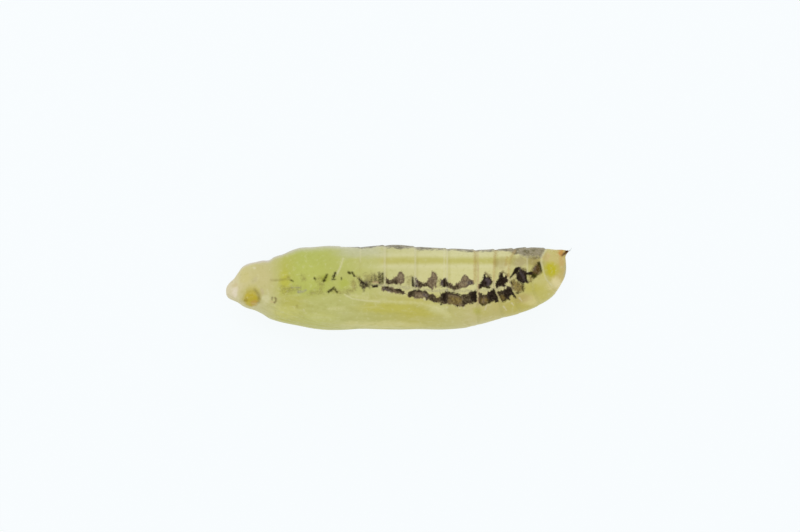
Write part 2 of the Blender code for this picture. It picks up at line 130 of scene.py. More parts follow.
PATCHES: dict[Tone, tuple[Patch, ...]] = {Tone.HAZE: (
    Patch("haze on segment 1", (
        (364, 274.5), (373, 273.5), (385, 275), (385.5, 283.5), (376, 284.5), (366, 285),
    )),
    Patch("haze between 2 and 3", ((406.5, 277), (412, 276), (412.5, 284.5), (406, 285))),
    Patch("haze between 3 and 4", ((437.4, 279), (441.8, 278.5), (442, 286), (437, 286.5))),
    Patch("haze behind spot 7", ((354, 275), (360, 277), (363, 280), (358, 281))),
), Tone.SABLE: (
    Patch("upper band 4, front", (
        (440.8, 285.4), (441.4, 281.4), (443.4, 278.4), (445.6, 278.2), (447.4, 281.4), (449, 283.2),
        (451.6, 284), (452, 286.4), (450.4, 288.8), (448.4, 287), (445.6, 286.6), (443, 286.8),
    )),
    Patch("upper band 5", (
        (478, 285), (480, 282.4), (481.6, 281.4), (483, 278), (483.7, 274.5), (485.1, 274.3),
        (485.8, 276.8), (488.4, 276), (491.4, 277.8), (493, 281), (492, 284), (490.4, 286),
        (489.6, 288.4), (486.6, 288.6), (486, 287), (484, 287.2), (482, 287.6), (479.6, 289),
        (478, 289),
    )),
    Patch("upper band 6", (
        (496.1, 288), (495.8, 282), (497, 280), (499, 277.8), (499.8, 274.4), (500.6, 272.8),
        (502.8, 272.8), (503.4, 275.6), (504.6, 277), (505.6, 274.6), (507, 275.6), (507.8, 280),
        (507.2, 283), (505.6, 283), (505, 285), (504.4, 287), (502.8, 286.8), (501.4, 285.2),
        (499, 285.8), (497.6, 286.8), (497, 288.4),
    )),
    Patch("lower band 5", (
        (477.6, 292.4), (481, 292.8), (482.4, 294), (484.6, 295), (486.6, 294.4), (487.6, 292.6),
        (489.6, 291.4), (490.6, 290), (492, 290.4), (493.2, 288.8), (494.6, 288.4), (495.4, 291),
        (496.4, 294.4), (497.8, 298), (499, 301.6), (496, 302.2), (493.6, 300.8), (491.4, 302.4),
        (489, 303.8), (487.6, 302.6), (486, 304.6), (483, 305.4), (480.8, 304.4), (478.6, 302.6),
        (477.8, 298),
    )),
    Patch("lower band 6", (
        (496.4, 291.6), (499, 291.8), (501, 290), (503, 289.8), (504.6, 288.4), (506, 289),
        (507.2, 286.8), (509.2, 286), (511.2, 287.2), (512.4, 290), (513.4, 293), (515, 296),
        (516, 298.2), (514.4, 298), (512.8, 295.4), (511.4, 294.4), (510.4, 296.4), (509.6, 297.6),
        (510.2, 299.4), (509, 300.2), (507, 299), (506, 300.6), (504, 302.2), (502, 302.6),
        (500.8, 300.4), (499.8, 297.6), (498.4, 294.8),
    )),
), Tone.TAUPE: (
    Patch("upper band 2", (
        (385.9, 277.4), (388, 278.8), (390, 279.8), (393, 278.4), (395.5, 277), (397.4, 275.2),
        (398.6, 272), (400.2, 271.4), (402.3, 271.2), (403.4, 273), (404.6, 276), (404.8, 280.5),
        (404, 283), (401.5, 283.3), (400.6, 285), (398.5, 283.6), (396, 285), (394.5, 283.8),
        (390, 284.1), (386, 283.9),
    )),
    Patch("upper band 3", (
        (416, 278.6), (419, 281), (422, 282.6), (426.3, 282), (428, 280), (429.2, 278.6), (431, 276),
        (431.4, 272.3), (432.6, 271), (435, 272), (436.6, 274.5), (437.6, 277), (437.4, 282),
        (436.5, 286.5), (435.5, 288), (434.3, 285.6), (433.4, 289.5), (432, 290.2), (429.5, 288),
        (427.2, 286.2), (424.5, 286.6), (422, 287), (420.4, 288.5), (418.5, 286.5), (416.5, 284.5),
    )),
    Patch("upper band 4 front", (
        (441.5, 284.5), (442.5, 280), (444.5, 278.5), (446.3, 280.5), (447, 286), (444, 286.5),
    )),
    Patch("upper band 4", (
        (447.9, 283.2), (451.5, 283.6), (454.8, 284.6), (456.2, 282), (457.6, 282.8), (459.5, 282.2),
        (461.5, 279.5), (462, 276.5), (463.5, 275.8), (465.5, 274.3), (468, 276.2), (469.6, 279),
        (471, 280.2), (472.9, 280), (474.2, 283), (473, 284.6), (470, 285), (468.3, 286), (466, 287.8),
        (463.5, 288), (461, 288.4), (457.8, 289), (454.6, 290.1), (453, 289), (451, 289.2),
        (449.8, 287.6), (448, 287),
    )),
    Patch("lower band 2", (
        (381, 286.5), (384, 285.8), (388, 286.2), (391.5, 287.6), (394.5, 288.6), (398, 288.8),
        (401, 289.6), (403, 291), (405, 292.6), (406, 294.2), (403.5, 294.6), (400, 294), (396.5, 293),
        (393, 292.4), (390.5, 292.8), (388, 291), (385, 291), (382, 290.8),
    )),
    Patch("lower band 3", (
        (407.3, 296), (408.8, 292.3), (411.5, 290.5), (415, 290), (419, 289.8), (423, 290.8),
        (426.5, 291.8), (428.5, 294), (431, 294.2), (433.4, 293), (435.2, 295.6), (437.2, 297.6),
        (439.5, 295), (441, 296), (441, 304), (438.5, 303), (436, 302.4), (433.5, 302), (430.5, 300.8),
        (427, 300), (425.5, 298), (423, 298.2), (419, 298.8), (415.5, 298.2), (412, 297), (409, 297.3),
    )),
    Patch("lower band 4", (
        (442, 296), (443.5, 293.4), (446, 292.3), (449, 292.4), (453, 292.8), (457, 293.8),
        (460.5, 295.6), (462.5, 294.8), (464.8, 294.2), (466.5, 296), (469, 295.4), (471, 292.5),
        (472, 292), (472.2, 303.5), (470.5, 303.8), (467, 304), (465.5, 305.4), (463, 306.8),
        (460, 306), (458, 307), (456, 306.4), (453.5, 304.8), (450, 305), (447.5, 304.2), (445, 303.2),
        (442.5, 304.6),
    )),
), Tone.BROWN: (
    Patch("band 8", (
        (529.4, 275), (531.4, 270.6), (533, 267), (535.6, 264.4), (539, 262.6), (540.2, 264.4),
        (541.2, 268), (542, 271), (540.4, 274), (538, 275.2), (536, 276.8), (534, 278), (532, 276),
    )),
), Tone.FAWN: (
    Patch("fill 3", (
        (417.2, 294.4), (421, 293.8), (424.4, 294.8), (425.4, 297), (421.5, 297.8), (417.8, 297.4),
    )),
    Patch("pale brown of peak 2", (
        (398.8, 273), (401.5, 272.2), (403.8, 277), (403.4, 282), (400, 283), (397.8, 279),
    )),
    Patch("pale brown of peak 3", (
        (431.6, 273.6), (433.5, 271.8), (436, 276), (436.4, 282), (434, 285), (431, 283),
        (430.4, 278.6),
    )),
    Patch("pale brown of peak 4", (
        (462.4, 277.4), (465.6, 275), (468.6, 278.4), (469, 283.4), (466, 286.4), (462, 287.4),
        (459.5, 285.4), (459.8, 283),
    )),
), Tone.KHAKI: (
    Patch("end of band 3", (
        (437.4, 297.8), (439.8, 296.4), (442, 298), (443, 301), (441.6, 303.2), (438.6, 301.6),
    )),
    Patch("fill 4", (
        (448.4, 297), (452, 296.4), (456, 297), (460, 297.4), (462.4, 299.4), (462, 302.6),
        (459, 304.8), (455, 304), (450.5, 304.4), (448.2, 301.6),
    )),
    Patch("fill 5", (
        (480, 299), (482, 296.8), (484.8, 296.6), (487.2, 298.6), (488.2, 301), (487, 303.4),
        (483.4, 304.4), (480.6, 303),
    )),
    Patch("fill 6", (
        (500.4, 296.4), (501.8, 294.8), (503.6, 295.4), (504.8, 297.4), (504.4, 299.2), (502.6, 300.4),
        (501.4, 298.8),
    )),
    Patch("fill 7", (
        (511, 281.2), (512.4, 279.8), (514.6, 279.2), (517, 280.8), (519.6, 283.2), (522, 284.2),
        (524, 284.8), (524.2, 288), (523.4, 291.2), (520.8, 292), (518.4, 292.8), (516, 292.4),
        (514.4, 290), (512.8, 286.6),
    )),
    Patch("fill 8", ((528.8, 276.4), (531.6, 276.6), (532.4, 279.4), (531.2, 282), (529, 281.6))),
), Tone.UMBER: (
    Patch("low left of band 2", (
        (386.1, 278.2), (389, 280), (392.4, 279.8), (396, 279), (397.4, 281.4), (396.4, 284.2),
        (394, 283.2), (390, 283.8), (386.2, 283.6),
    )),
    Patch("low left of band 3", (
        (416.6, 280), (419.6, 282), (423, 283.6), (427, 283), (428.4, 285), (430.6, 287.2),
        (431.8, 289.4), (428.4, 286.6), (424.6, 285.8), (421.6, 286.6), (420.2, 287.6), (418.2, 285.4),
    )),
    Patch("low left of band 4", (
        (448.2, 284), (452, 284.8), (456, 285), (458, 285.6), (459.6, 287.4), (457.2, 288.6),
        (454.6, 289.6), (451, 288.6), (449.8, 287),
    )),
    Patch("upper edge of lower band 2", (
        (384, 286.6), (387.6, 286.8), (391, 288.2), (393, 290.2), (392, 291.6), (389.4, 290.2),
        (386, 289.4), (384, 289.6),
    )),
    Patch("rear of lower band 2", (
        (394.4, 289), (398, 289), (401.6, 290.2), (403.8, 292.2), (404.6, 293.6), (401, 293.4),
        (397.6, 292), (395.4, 290.4),
    )),
    Patch("front of lower band 3", (
        (408, 296), (409.2, 292.8), (412, 291), (413.4, 291.4), (413.4, 296.4), (410.4, 297),
    )),
    Patch("rear of lower band 3", (
        (427.2, 294.6), (430.4, 294.8), (433.4, 294), (435.4, 296.6), (437, 298.6), (437.8, 301.6),
        (435.4, 301.8), (432.4, 301.4), (429.4, 299.8), (426.4, 299.4), (426.2, 297),
    )),
    Patch("rear of lower band 4", (
        (462.6, 295.6), (465, 295), (467, 296.6), (470.8, 296), (471.4, 302.6), (467.2, 303.4),
        (464.8, 304.8), (462.6, 304.6), (461.8, 300.6),
    )),
    Patch("foot of lower band 4", ((456.6, 304.8), (458.6, 305.6), (458, 306.8), (456.2, 306.2))),
    Patch("rear mass of lower band 4", (
        (466.6, 295.8), (469.4, 293), (471, 291.4), (474, 291.2), (476.6, 291.6), (477, 296),
        (476.6, 301.2), (474.4, 302.6), (471.6, 303.6), (467.4, 303.6), (466, 300),
    )),
    Patch("front mass of lower band 4", (
        (438.4, 296.8), (441, 293.6), (444, 291.8), (447.6, 291.6), (447.8, 297), (447.6, 303.4),
        (444.6, 303), (441.8, 304), (439.4, 302.8), (438, 300),
    )),
    Patch("front mass of lower band 3", (
        (407.4, 295.6), (409.4, 291.8), (412.6, 290.2), (414.8, 290.4), (414.4, 296.8), (410.6, 297.4),
    )),
    Patch("front of lower band 5", (
        (479, 293.6), (481.4, 293.4), (484, 295.4), (483, 296.8), (480.6, 297.6), (479.2, 299.6),
    )),
    Patch("front of lower band 6", (
        (497.6, 292.6), (499.6, 292.4), (501.6, 291), (502.4, 292.6), (500.4, 294), (499.4, 296.6),
    )),
), Tone.PLUM: (
    Patch("lower band 2 front", (
        (382.6, 287.6), (386, 288.4), (388.4, 289.8), (390.6, 291.2), (387.4, 290.4), (384, 290.4),
    )),
    Patch("lower band 3 grey", (
        (422, 293.6), (426, 293.8), (428, 295.6), (427.4, 297.6), (424.4, 296.6),
    )),
    Patch("band 4 rear", (
        (466.8, 281.6), (470.6, 281), (473.4, 282), (472.4, 284), (468.8, 284.6), (467, 286),
    )),
), Tone.PURPLE: (
    Patch("slash into band 7", (
        (514.6, 273.4), (516.4, 270), (519.6, 267.6), (520.8, 269.6), (518.8, 272), (516.6, 274.6),
    )),
    Patch("bars of lower band 4", (
        (470.2, 293), (473.4, 291.6), (476.8, 292), (476.8, 298), (476.2, 301.8), (473.6, 301),
        (471.8, 302.8), (470, 300.6),
    )),
    Patch("front of lower band 4, heart", (
        (441.4, 295.4), (443.6, 293), (446.6, 293), (446.8, 299), (445.8, 302.4), (443.4, 300.8),
        (441.8, 299),
    )),
    Patch("heart of band 5", (
        (480.6, 282.8), (483.2, 279.6), (484.4, 276.4), (487.4, 277.6), (490.6, 279.4), (491.2, 281.6),
        (489.4, 283.6), (487.6, 285.6), (484, 286), (481, 287),
    )),
    Patch("heart of band 6", (
        (496.4, 287), (496.4, 282), (498.8, 278.6), (500, 274.4), (502.4, 273.8), (503.4, 277.4),
        (505.2, 278.6), (506.4, 276.4), (507.2, 280.4), (506.4, 283), (505, 284), (503.8, 286.4),
        (501, 285.6), (498, 286.4),
    )),
    Patch("band 7", (
        (515.8, 276), (516.2, 274.2), (517, 272.4), (518.8, 270.4), (520.2, 269.2), (522, 269.4),
        (523.6, 270), (524.6, 271.2), (526.2, 271), (526.8, 274.6), (527.4, 279), (528.4, 282.2),
        (527.4, 283.2), (525, 283), (523.4, 284.2), (521.4, 283.6), (518.2, 281.2), (515.8, 278.8),
    )),
    Patch("dark of lower band 5", (
        (487.4, 294), (489.8, 292), (492.6, 290.6), (494.6, 289.4), (495.8, 293.6), (497.2, 297.4),
        (498.2, 300.4), (495.6, 300.8), (493.4, 299.6), (490.4, 299), (487.6, 298),
    )),
    Patch("dark of lower band 6", (
        (503, 291.4), (505.6, 289.8), (508, 287.6), (510.6, 287.6), (512, 290.8), (512.8, 293.6),
        (510.6, 294.4), (508.6, 296.8), (506.4, 296.4), (504, 294),
    )),
), Tone.SMUDGE: (
    Patch("smudge ahead of segment 1", (
        (358.6, 278), (361, 279.6), (364, 280.4), (367, 280.8), (369, 282), (367, 284), (369.4, 286.2),
        (366.4, 286.6), (364.4, 290.4), (362.6, 290), (361.8, 286), (359.6, 284.6), (360.2, 281.6),
    )),
), Tone.OLIVE: (
    Patch("foot of band 8", (
        (531.4, 274.2), (534.4, 273.6), (537.8, 274.6), (536, 277), (533.8, 278.8), (532, 277),
    )),
    Patch("rear edge of band 8", (
        (537.4, 262.8), (539.8, 261.8), (541, 265), (542.2, 269.6), (541.6, 273), (540.4, 271),
        (539.6, 267),
    )),
), Tone.INK: (
    Patch("small dot", ((341.3, 277), (341.5, 280))),
    Patch("slash on segment 7", (
        (509.3, 278.2), (511.5, 274.6), (513, 272), (514, 269.3), (515.6, 267.3), (518.5, 266.6),
        (520.4, 267.2), (520.2, 269.2), (518.2, 271.2), (516.6, 272.8), (514, 275), (511.5, 277.4),
        (510.2, 278.8),
    )),
)}

STROKES: dict[Tone, tuple[Stroke, ...]] = {Tone.GLEAM: (
    Stroke("wing tip line a", (2.6, 4.4), ((431, 303.6), (439, 309), (448.4, 315.8))),
    Stroke("wing tip line b", (1.6, 1.2), ((446.8, 304), (446.6, 313))),
    Stroke("pale above wing edge", (2.6, 2.2), ((350, 294.6), (358, 296.8), (368, 297.8))),
    Stroke("wing edge, rear", (1.4, 2.6), (
        (362, 299.4), (385, 302), (410, 302.2), (428, 304.6), (440, 310),
    )),
    Stroke("gleam on wing base", (3, 2), ((330, 309), (344, 308))),
), Tone.HAZE: (
    Stroke("haze under thorax marks", (2.4, 1.6), ((283, 288.5), (292, 288), (300, 287.5))),
    Stroke("faint streak", (2, 3.2), ((323, 283), (321.4, 287), (319.8, 292))),
    Stroke("brown arc", (2.6, 3.2), ((353.4, 280.6), (354.8, 286), (352.6, 290.6), (347, 292))),
    Stroke("haze under the arm", (4.2, 3.6), ((333.6, 289.6), (336, 291.6))),
    Stroke("haze behind the arm", (2.8, 2.4), ((338, 292.6), (345, 291.8))),
    Stroke("faint spot of thorax", (3, 2.4), ((302.6, 277.4), (304, 279))),
    Stroke("low haze of thorax", (2, 2.6), ((285, 292.6), (290, 290.2), (294, 288.6))),
    Stroke("low haze of thorax, rear", (1.6, 2.6), ((310, 293.4), (316, 291.6), (321, 292.4))),
    Stroke("haze of the slash", (2.6, 2), ((318.6, 279), (320.6, 284))),
), Tone.GLOOM: (
    Stroke("low dot", (0.9, 0.8), ((297, 305.8), (296.8, 306.8))),
    Stroke("line on shield", (0.8, 1.4), ((271, 280.2), (280, 280.2), (287.6, 279))),
    Stroke("faint front spot", (2, 2), ((288, 277), (289.2, 278.6))),
    Stroke("crescent of eye", (1.8, 2.6), ((254.6, 289.6), (257, 292.2), (259, 295.4), (259.4, 299))),
    Stroke("crescent of eye, foot", (2.2, 0.8), ((259.4, 299), (258.4, 303))),
), Tone.STRIP: (
    Stroke("pale strip between bands", (2.6, 2.8), (
        (385, 285.2), (395, 286.4), (405, 287.6), (420, 289), (433, 291), (445, 290.4), (455, 291.2),
        (465, 291), (480, 290.8), (488, 289.6), (497, 289), (506, 286.4),
    )),
    Stroke("strip ahead of segment 2", (1.8, 2.4), ((372, 284.6), (378, 285.2), (385, 285.4))),
    Stroke("gap behind lower band 2", (1.3, 1.1), ((406.4, 284), (406.6, 292))),
    Stroke("pale in band 6", (1.6, 1.6), ((505.2, 282.6), (506, 286.6), (504, 288))),
    Stroke("pale in band 5", (1.4, 2.4), ((489.6, 284.4), (490, 288.4))),
    Stroke("fleck in band 6", (2.8, 2), ((498.4, 288.2), (501.6, 287))),
), Tone.MEMBRANE: (
    Stroke("membrane 3", (2.6, 2.8), ((415, 277.4), (415, 284.6))),
    Stroke("membrane 3 low", (2.8, 2.6), ((414.9, 290.2), (414.9, 297))),
    Stroke("membrane 4", (1.5, 1.5), ((447, 278), (447, 301))),
    Stroke("grey on lower band 2", (1.6, 1.2), ((383.6, 288.6), (386.6, 289))),
    Stroke("grey patch on thorax", (3, 1.6), ((298.6, 292), (303, 291.4), (306, 290))),
    Stroke("grey line on thorax", (0.8, 0.8), ((291.6, 287.2), (299.6, 287.6))),
    Stroke("pale blue in smudge", (1.4, 1), ((366.4, 282.4), (367.4, 282.2))),
), Tone.BROWN: (
    Stroke("left edge of lower band 7", (1.6, 1.2), ((511.4, 282.6), (513.2, 287), (515, 290.6))),
    Stroke("haze over peak 5", (1.4, 2.6), ((485.6, 273), (489.4, 276.4))),
    Stroke("haze over peak 6", (1.2, 2), ((503, 271.8), (507.4, 275))),
    Stroke("haze over band 7", (1.4, 1.8), ((521, 268.4), (526, 270))),
), Tone.PLUM: (
    Stroke("block ahead of band 3, rear", (2.2, 2.6), ((416.4, 279), (416.6, 286.4))),
    Stroke("band 4, front", (2.6, 2.6), ((441.8, 280.4), (442, 285.6))),
), Tone.SMUDGE: (
    Stroke("smudge a", (1.4, 3.4), ((358.2, 278.4), (360.8, 280.8), (363.6, 283.4))),
    Stroke("smudge b", (2.6, 1.8), ((361, 285.6), (364, 283.4), (367, 280.4))),
    Stroke("smudge c", (3.6, 1.4), ((363, 283.4), (363.2, 287), (363.6, 291))),
    Stroke("smudge d", (3.2, 1.6), ((363.6, 283.8), (366.6, 285.4), (369.6, 287))),
    Stroke("smudge f", (2.2, 1.2), ((366, 284.2), (371, 285), (377.6, 285.8))),
    Stroke("streak a", (1, 1.4), ((371.6, 276.6), (371.4, 281))),
    Stroke("streak haze", (2.6, 2.8), ((380.8, 275.4), (380.8, 282))),
    Stroke("streak b", (1.2, 1.6), ((375.6, 275.4), (375.4, 281.6))),
    Stroke("streak c", (1.5, 1.4), ((379.4, 273.4), (379.3, 283))),
    Stroke("streak d", (1.6, 1.5), ((383, 274), (382.8, 282.6))),
    Stroke("smudge e", (2, 1.2), ((364, 282.4), (369.4, 281.6))),
    Stroke("halo of the tall smudge", (1.5, 1.7), ((335.6, 272.8), (332.6, 279.4))),
    Stroke("arm a", (0.8, 0.9), ((328, 292.4), (331.2, 290.2), (334.4, 287.6))),
    Stroke("slash behind spot 7", (1.2, 1.6), ((358.6, 279), (361, 281.2))),
), Tone.OLIVE: (
    Stroke("round spot", (1.98, 1.98), ((314.4, 278.2), (314.9, 278.9))),
    Stroke("tall smudge", (1.44, 1.8), ((335.4, 273), (333.4, 277.8))),
    Stroke("dot", (1.08, 1.08), ((341.4, 277.6), (341.5, 279.4))),
    Stroke("spot 6", (2.34, 2.34), ((348.6, 272.4), (349.8, 273))),
    Stroke("slash 7", (1.8, 1.8), ((352.2, 272.4), (353.4, 274.2), (354.6, 276))),
    Stroke("arm a", (1.62, 1.62), ((328.4, 292), (331.2, 290.2), (334, 287.6))),
    Stroke("arm b", (1.26, 1.44), ((334.6, 289.4), (337.4, 292.6))),
    Stroke("front spot", (1, 1.3), ((290.4, 279.8), (292.8, 281.2))),
    Stroke("slash on thorax", (1.8, 3), ((327, 274.6), (325.6, 277.6), (324, 280.6))),
    Stroke("streak 1 a", (1, 0.9), ((379.3, 273.6), (379.3, 282.8))),
    Stroke("streak 1 b", (1.1, 1), ((383, 274), (383, 282))),
    Stroke("right edge of lower band 7", (1, 1.2), ((523, 284.8), (523, 288), (523.2, 291.4))),
    Stroke("foot of lower band 7 a", (1.3, 1.1), ((516.2, 292.8), (518, 293.6))),
    Stroke("foot of lower band 7 b", (1, 0.8), ((519.8, 292.6), (520.8, 292))),
    Stroke("foot of lower band 6", (1.2, 1), ((503.8, 301.8), (505.6, 300.6))),
    Stroke("foot of lower band 5", (1.6, 1.4), ((488.8, 303), (490.4, 302))),
    Stroke("foot of lower band 5, front", (1.2, 1), ((481.4, 304.8), (484.8, 304.8))),
    Stroke("foot of band 5", (2, 1.8), ((486.6, 287), (488.6, 287.4))),
), Tone.INK: (
    Stroke("wedge on segment 1", (0.8, 1.6), ((372.2, 287.6), (374.6, 287), (377.4, 286.2))),
    Stroke("spot on segment 1", (1.12, 1.12), ((371, 281.6), (371.8, 282))),
    Stroke("top edge of lower band 2", (1.28, 0.96), ((384.6, 286.6), (387.4, 286.6))),
    Stroke("top edge of lower band 2, rear", (0.8, 1.44), (
        (394.8, 289.3), (398.4, 289.6), (401.2, 290.8),
    )),
    Stroke("bar ahead of band 3", (0.96, 1.28), ((412.6, 277), (412.4, 280.5), (412.6, 284.4))),
    Stroke("top edge of lower band 3", (1.44, 0.8), (
        (416.8, 291.6), (420.4, 291.4), (424, 292.2), (427, 293.4),
    )),
    Stroke("front of lower band 3", (1.44, 1.44), ((409.4, 294.6), (412.6, 293.2))),
    Stroke("black dot", (1.44, 1.28), ((440.6, 304.4), (441.8, 304.4))),
    Stroke("front of lower band 4", (2.56, 1.92), ((444, 294.4), (444, 300))),
    Stroke("top edge of lower band 4", (1.28, 0.8), (
        (449, 293.6), (454, 294.4), (458.6, 295.6), (461.4, 297.4),
    )),
    Stroke("lower dots 4", (0.96, 0.8), ((462.6, 306), (464.2, 305.4))),
    Stroke("top edge of lower band 3, front", (1.2, 1), (
        (409, 293.4), (412, 291), (416, 290.2), (420, 290.2), (425, 291.4), (428.4, 293.6),
    )),
    Stroke("top edge of lower band 4, front", (1.3, 1), (
        (447, 291.8), (452, 292.6), (457, 293.6), (462, 295.4), (467, 295.4),
    )),
    Stroke("bar 4 a", (2, 1.4), ((472.6, 293), (472.8, 303.6))),
    Stroke("bar 4 b", (3, 2.4), ((475.2, 292.4), (475.6, 301))),
    Stroke("left column of band 5", (1.3, 1.4), ((484.2, 275), (484.4, 278))),
    Stroke("low left of band 5", (1.6, 1.8), ((478.8, 287.6), (481.6, 284.6))),
    Stroke("left of band 6", (1.3, 1), ((496.6, 282.6), (496.8, 287.6))),
    Stroke("heart of band 6", (2.2, 2), ((498.6, 281.4), (501.4, 280), (502.6, 283.4))),
    Stroke("edge of lower band 5", (1.6, 2), ((494, 289), (495.2, 293.6), (497, 298))),
    Stroke("foot of lower band 5, rear", (1.5, 1.2), ((495.6, 301.2), (498.6, 301.6))),
    Stroke("heart of lower band 6", (2.2, 2.2), ((506, 291.6), (509, 290.2), (511.6, 291))),
    Stroke("slant behind lower band 6", (1.4, 1.3), ((512.4, 292), (514, 295), (515.6, 298))),
    Stroke("foot of lower band 6, rear", (1.6, 1.4), ((508.2, 298.2), (509.6, 299.6))),
    Stroke("front of lower band 7", (1.2, 1), ((510.8, 281.8), (512, 283.6))),
    Stroke("spot on segment 1, wide", (1.8, 2.4), ((373.2, 286.6), (377, 286))),
    Stroke("front of band 8", (3.2, 3), ((526.6, 273.8), (531.4, 273))),
    Stroke("middle of band 7", (1.6, 1.8), ((518.6, 278), (521.6, 274))),
    Stroke("rear of band 7", (1.4, 1), ((525.4, 274), (526.4, 281.6))),
    Stroke("block ahead of band 3", (2, 2.4), ((412.6, 277.6), (412.8, 286))),
    Stroke("column of band 4", (2.2, 2.6), ((444.4, 279), (444.6, 286))),
    Stroke("core of the smudge", (1.4, 1.8), ((361, 280.8), (363.4, 283), (366.2, 284.8))),
    Stroke("foot of the smudge", (1.4, 1), ((362.9, 284), (362.4, 287.8))),
    Stroke("spot on thorax", (1, 1.2), ((332.2, 279.5), (335.8, 279.3))),
    Stroke("dark in smudge", (1.2, 1.6), ((361.6, 282.2), (364.2, 284))),
    Stroke("dark in smudge, low", (1, 0.8), ((366.4, 285.4), (368.2, 286.2))),
    Stroke("edge of smudge", (0.9, 0.9), ((358.8, 279.4), (360.6, 281))),
), Tone.LILAC: (
    Stroke("pale top of band 7", (1.6, 1), ((519.4, 269.4), (521, 268.6))),
    Stroke("lilac in band 7", (1.8, 1.2), ((520.4, 272.6), (523, 276), (524.4, 280))),
    Stroke("lilac in band 5", (3.4, 2.6), ((486.8, 279.4), (489, 281.4), (488, 285))),
    Stroke("lilac in band 8", (1.6, 1.4), ((533.8, 270), (535.4, 267))),
    Stroke("lilac low in band 5", (1.4, 1.6), ((484, 297.6), (483.2, 302))),
), Tone.FOLD: (
    Stroke("fold 5 a", (0.5, 1.2), ((478, 262), (478, 276), (477.7, 290), (478, 305))),
    Stroke("fold 5 b", (1.8, 1.4), ((493.8, 280.6), (493.6, 286), (495.6, 290))),
    Stroke("fold 6 a", (1.1, 1.2), ((495.6, 290), (497.4, 294), (499, 298), (500.4, 301.4))),
    Stroke("fold 7 a", (1.5, 1), (
        (508.2, 276.4), (509, 281.4), (511.6, 286), (513.6, 290.2), (516, 293.8),
    )),
    Stroke("fold 7 b", (1.3, 1.7), ((510.4, 279.6), (513.6, 276.8), (516, 275.2))),
    Stroke("fold on segment 1", (1.8, 1.6), ((373.4, 282.6), (377.8, 282.6))),
), Tone.BLUSH: (
    Stroke("blush line 5", (0.72, 1.17), ((478, 252), (478, 276), (478.2, 302))),
    Stroke("blush by antenna", (1.44, 0.9), ((271, 301.6), (273.6, 302.2))),
    Stroke("blush on segment 1", (1.44, 1.26), ((373.4, 282.6), (377.6, 282.4))),
), Tone.PALE_LINE_AND_HIGHLIGHT: (
    # pale membranes along the seams, with painted highlights on them and on the crease of the thorax
    Stroke("rear of segment 1", (2.1, 1.5), ((384.7, 246.4), (384.7, 286))),
    Stroke("rear of segment 2", (1.8, 1.5), ((415.3, 247), (415.3, 277))),
    Stroke("rear of segment 3 a", (1.2, 1.2), ((444.1, 248), (444.1, 278))),
    Stroke("rear of segment 3 b", (1.65, 1.5), ((447.1, 248), (447.1, 279))),
    Stroke("front of segment 1", (1.2, 0.75), ((360.4, 248), (360.4, 262))),
    Stroke("rear of segment 7", (1.2, 1.2), ((527.3, 257), (527.5, 272))),
    Stroke("rear of segment 8", (1.95, 1.05), (
        (546, 250), (541.4, 257), (541.2, 262), (543, 270), (546, 279), (551.5, 285.5),
    )),
    Stroke("wing edge", (1.2, 0.9), ((344.6, 294.6), (352, 298.6), (366, 300.8), (380, 301.6))),
    Stroke("streak on thorax", (1.65, 2.1), (
        (343.2, 258.4), (341.6, 264), (339.6, 269), (337.4, 273.2),
    )),
    Stroke("short streak on thorax", (0.75, 0.6), ((340.4, 262), (342, 259.4))),
    Stroke("rear of segment 7", (1, 0.8), ((526.8, 258), (527.1, 265), (527.2, 271))),
), Tone.BROWN_LINE: (
    Stroke("rear of segment 4", (2.4, 2.2), ((474.9, 250.4), (474.9, 266), (474.8, 282))),
    Stroke("rear of segment 5", (2.4, 2), ((495.6, 250.2), (494.6, 258), (494.2, 268), (493.6, 280))),
    Stroke("rear of segment 6", (2.4, 1.8), (
        (514.8, 251), (511.4, 256), (509.4, 262), (508.6, 270), (508.4, 276),
    )),
    Stroke("rust haze on segment 6", (2.4, 2), ((507, 257.6), (505.8, 265))),
), Tone.RUST: (
    Stroke("antenna base a", (0.4, 0.4), ((272.4, 297.4), (272, 298.6), (272.2, 300))),
    Stroke("antenna base b", (0.9, 1), ((275.2, 297.8), (276.2, 299.4), (275.6, 301.4), (274.4, 302.8))),
    Stroke("cremaster", (1.4, 3.4), ((562.2, 255.4), (565, 253.4), (567.6, 250.6))),
), Tone.SPIRACLE_AND_GLINT: (
    # white specks: the breathing holes, and painted glints on the ridge under the bands, on the head and on
    # the wing
    Stroke("spiracle 2", (1.3, 1.3), ((388.6, 292.2), (389.6, 292.4))),
    Stroke("spiracle 3", (1.7, 1.7), ((424.2, 298.6), (424.7, 299.4))),
    Stroke("fleck 4 a", (0.9, 0.9), ((446.8, 307), (447, 307.8))),
    Stroke("fleck 4 b", (1, 1), ((459.2, 307.8), (459.9, 308.2))),
    Stroke("fleck 4 c", (1, 0.9), ((463.6, 307.6), (464.2, 308))),
    Stroke("fleck 5", (1, 0.8), ((486.4, 305.6), (485.8, 308), (484.8, 310.4))),
    Stroke("fleck 6", (1.3, 0.9), ((503.6, 306.4), (506.4, 310.2))),
    Stroke("fleck 6 b", (1.2, 0.8), ((511.6, 303), (513.6, 305.4))),
    Stroke("fleck 7", (1.3, 0.9), ((519.4, 297.8), (521.6, 300.8))),
    Stroke("glint on head", (1.8, 1.8), ((254.2, 267.8), (254.9, 268.1))),
    Stroke("glint on wing", (0.9, 0.6), ((303.4, 309.4), (305, 311))),
)}


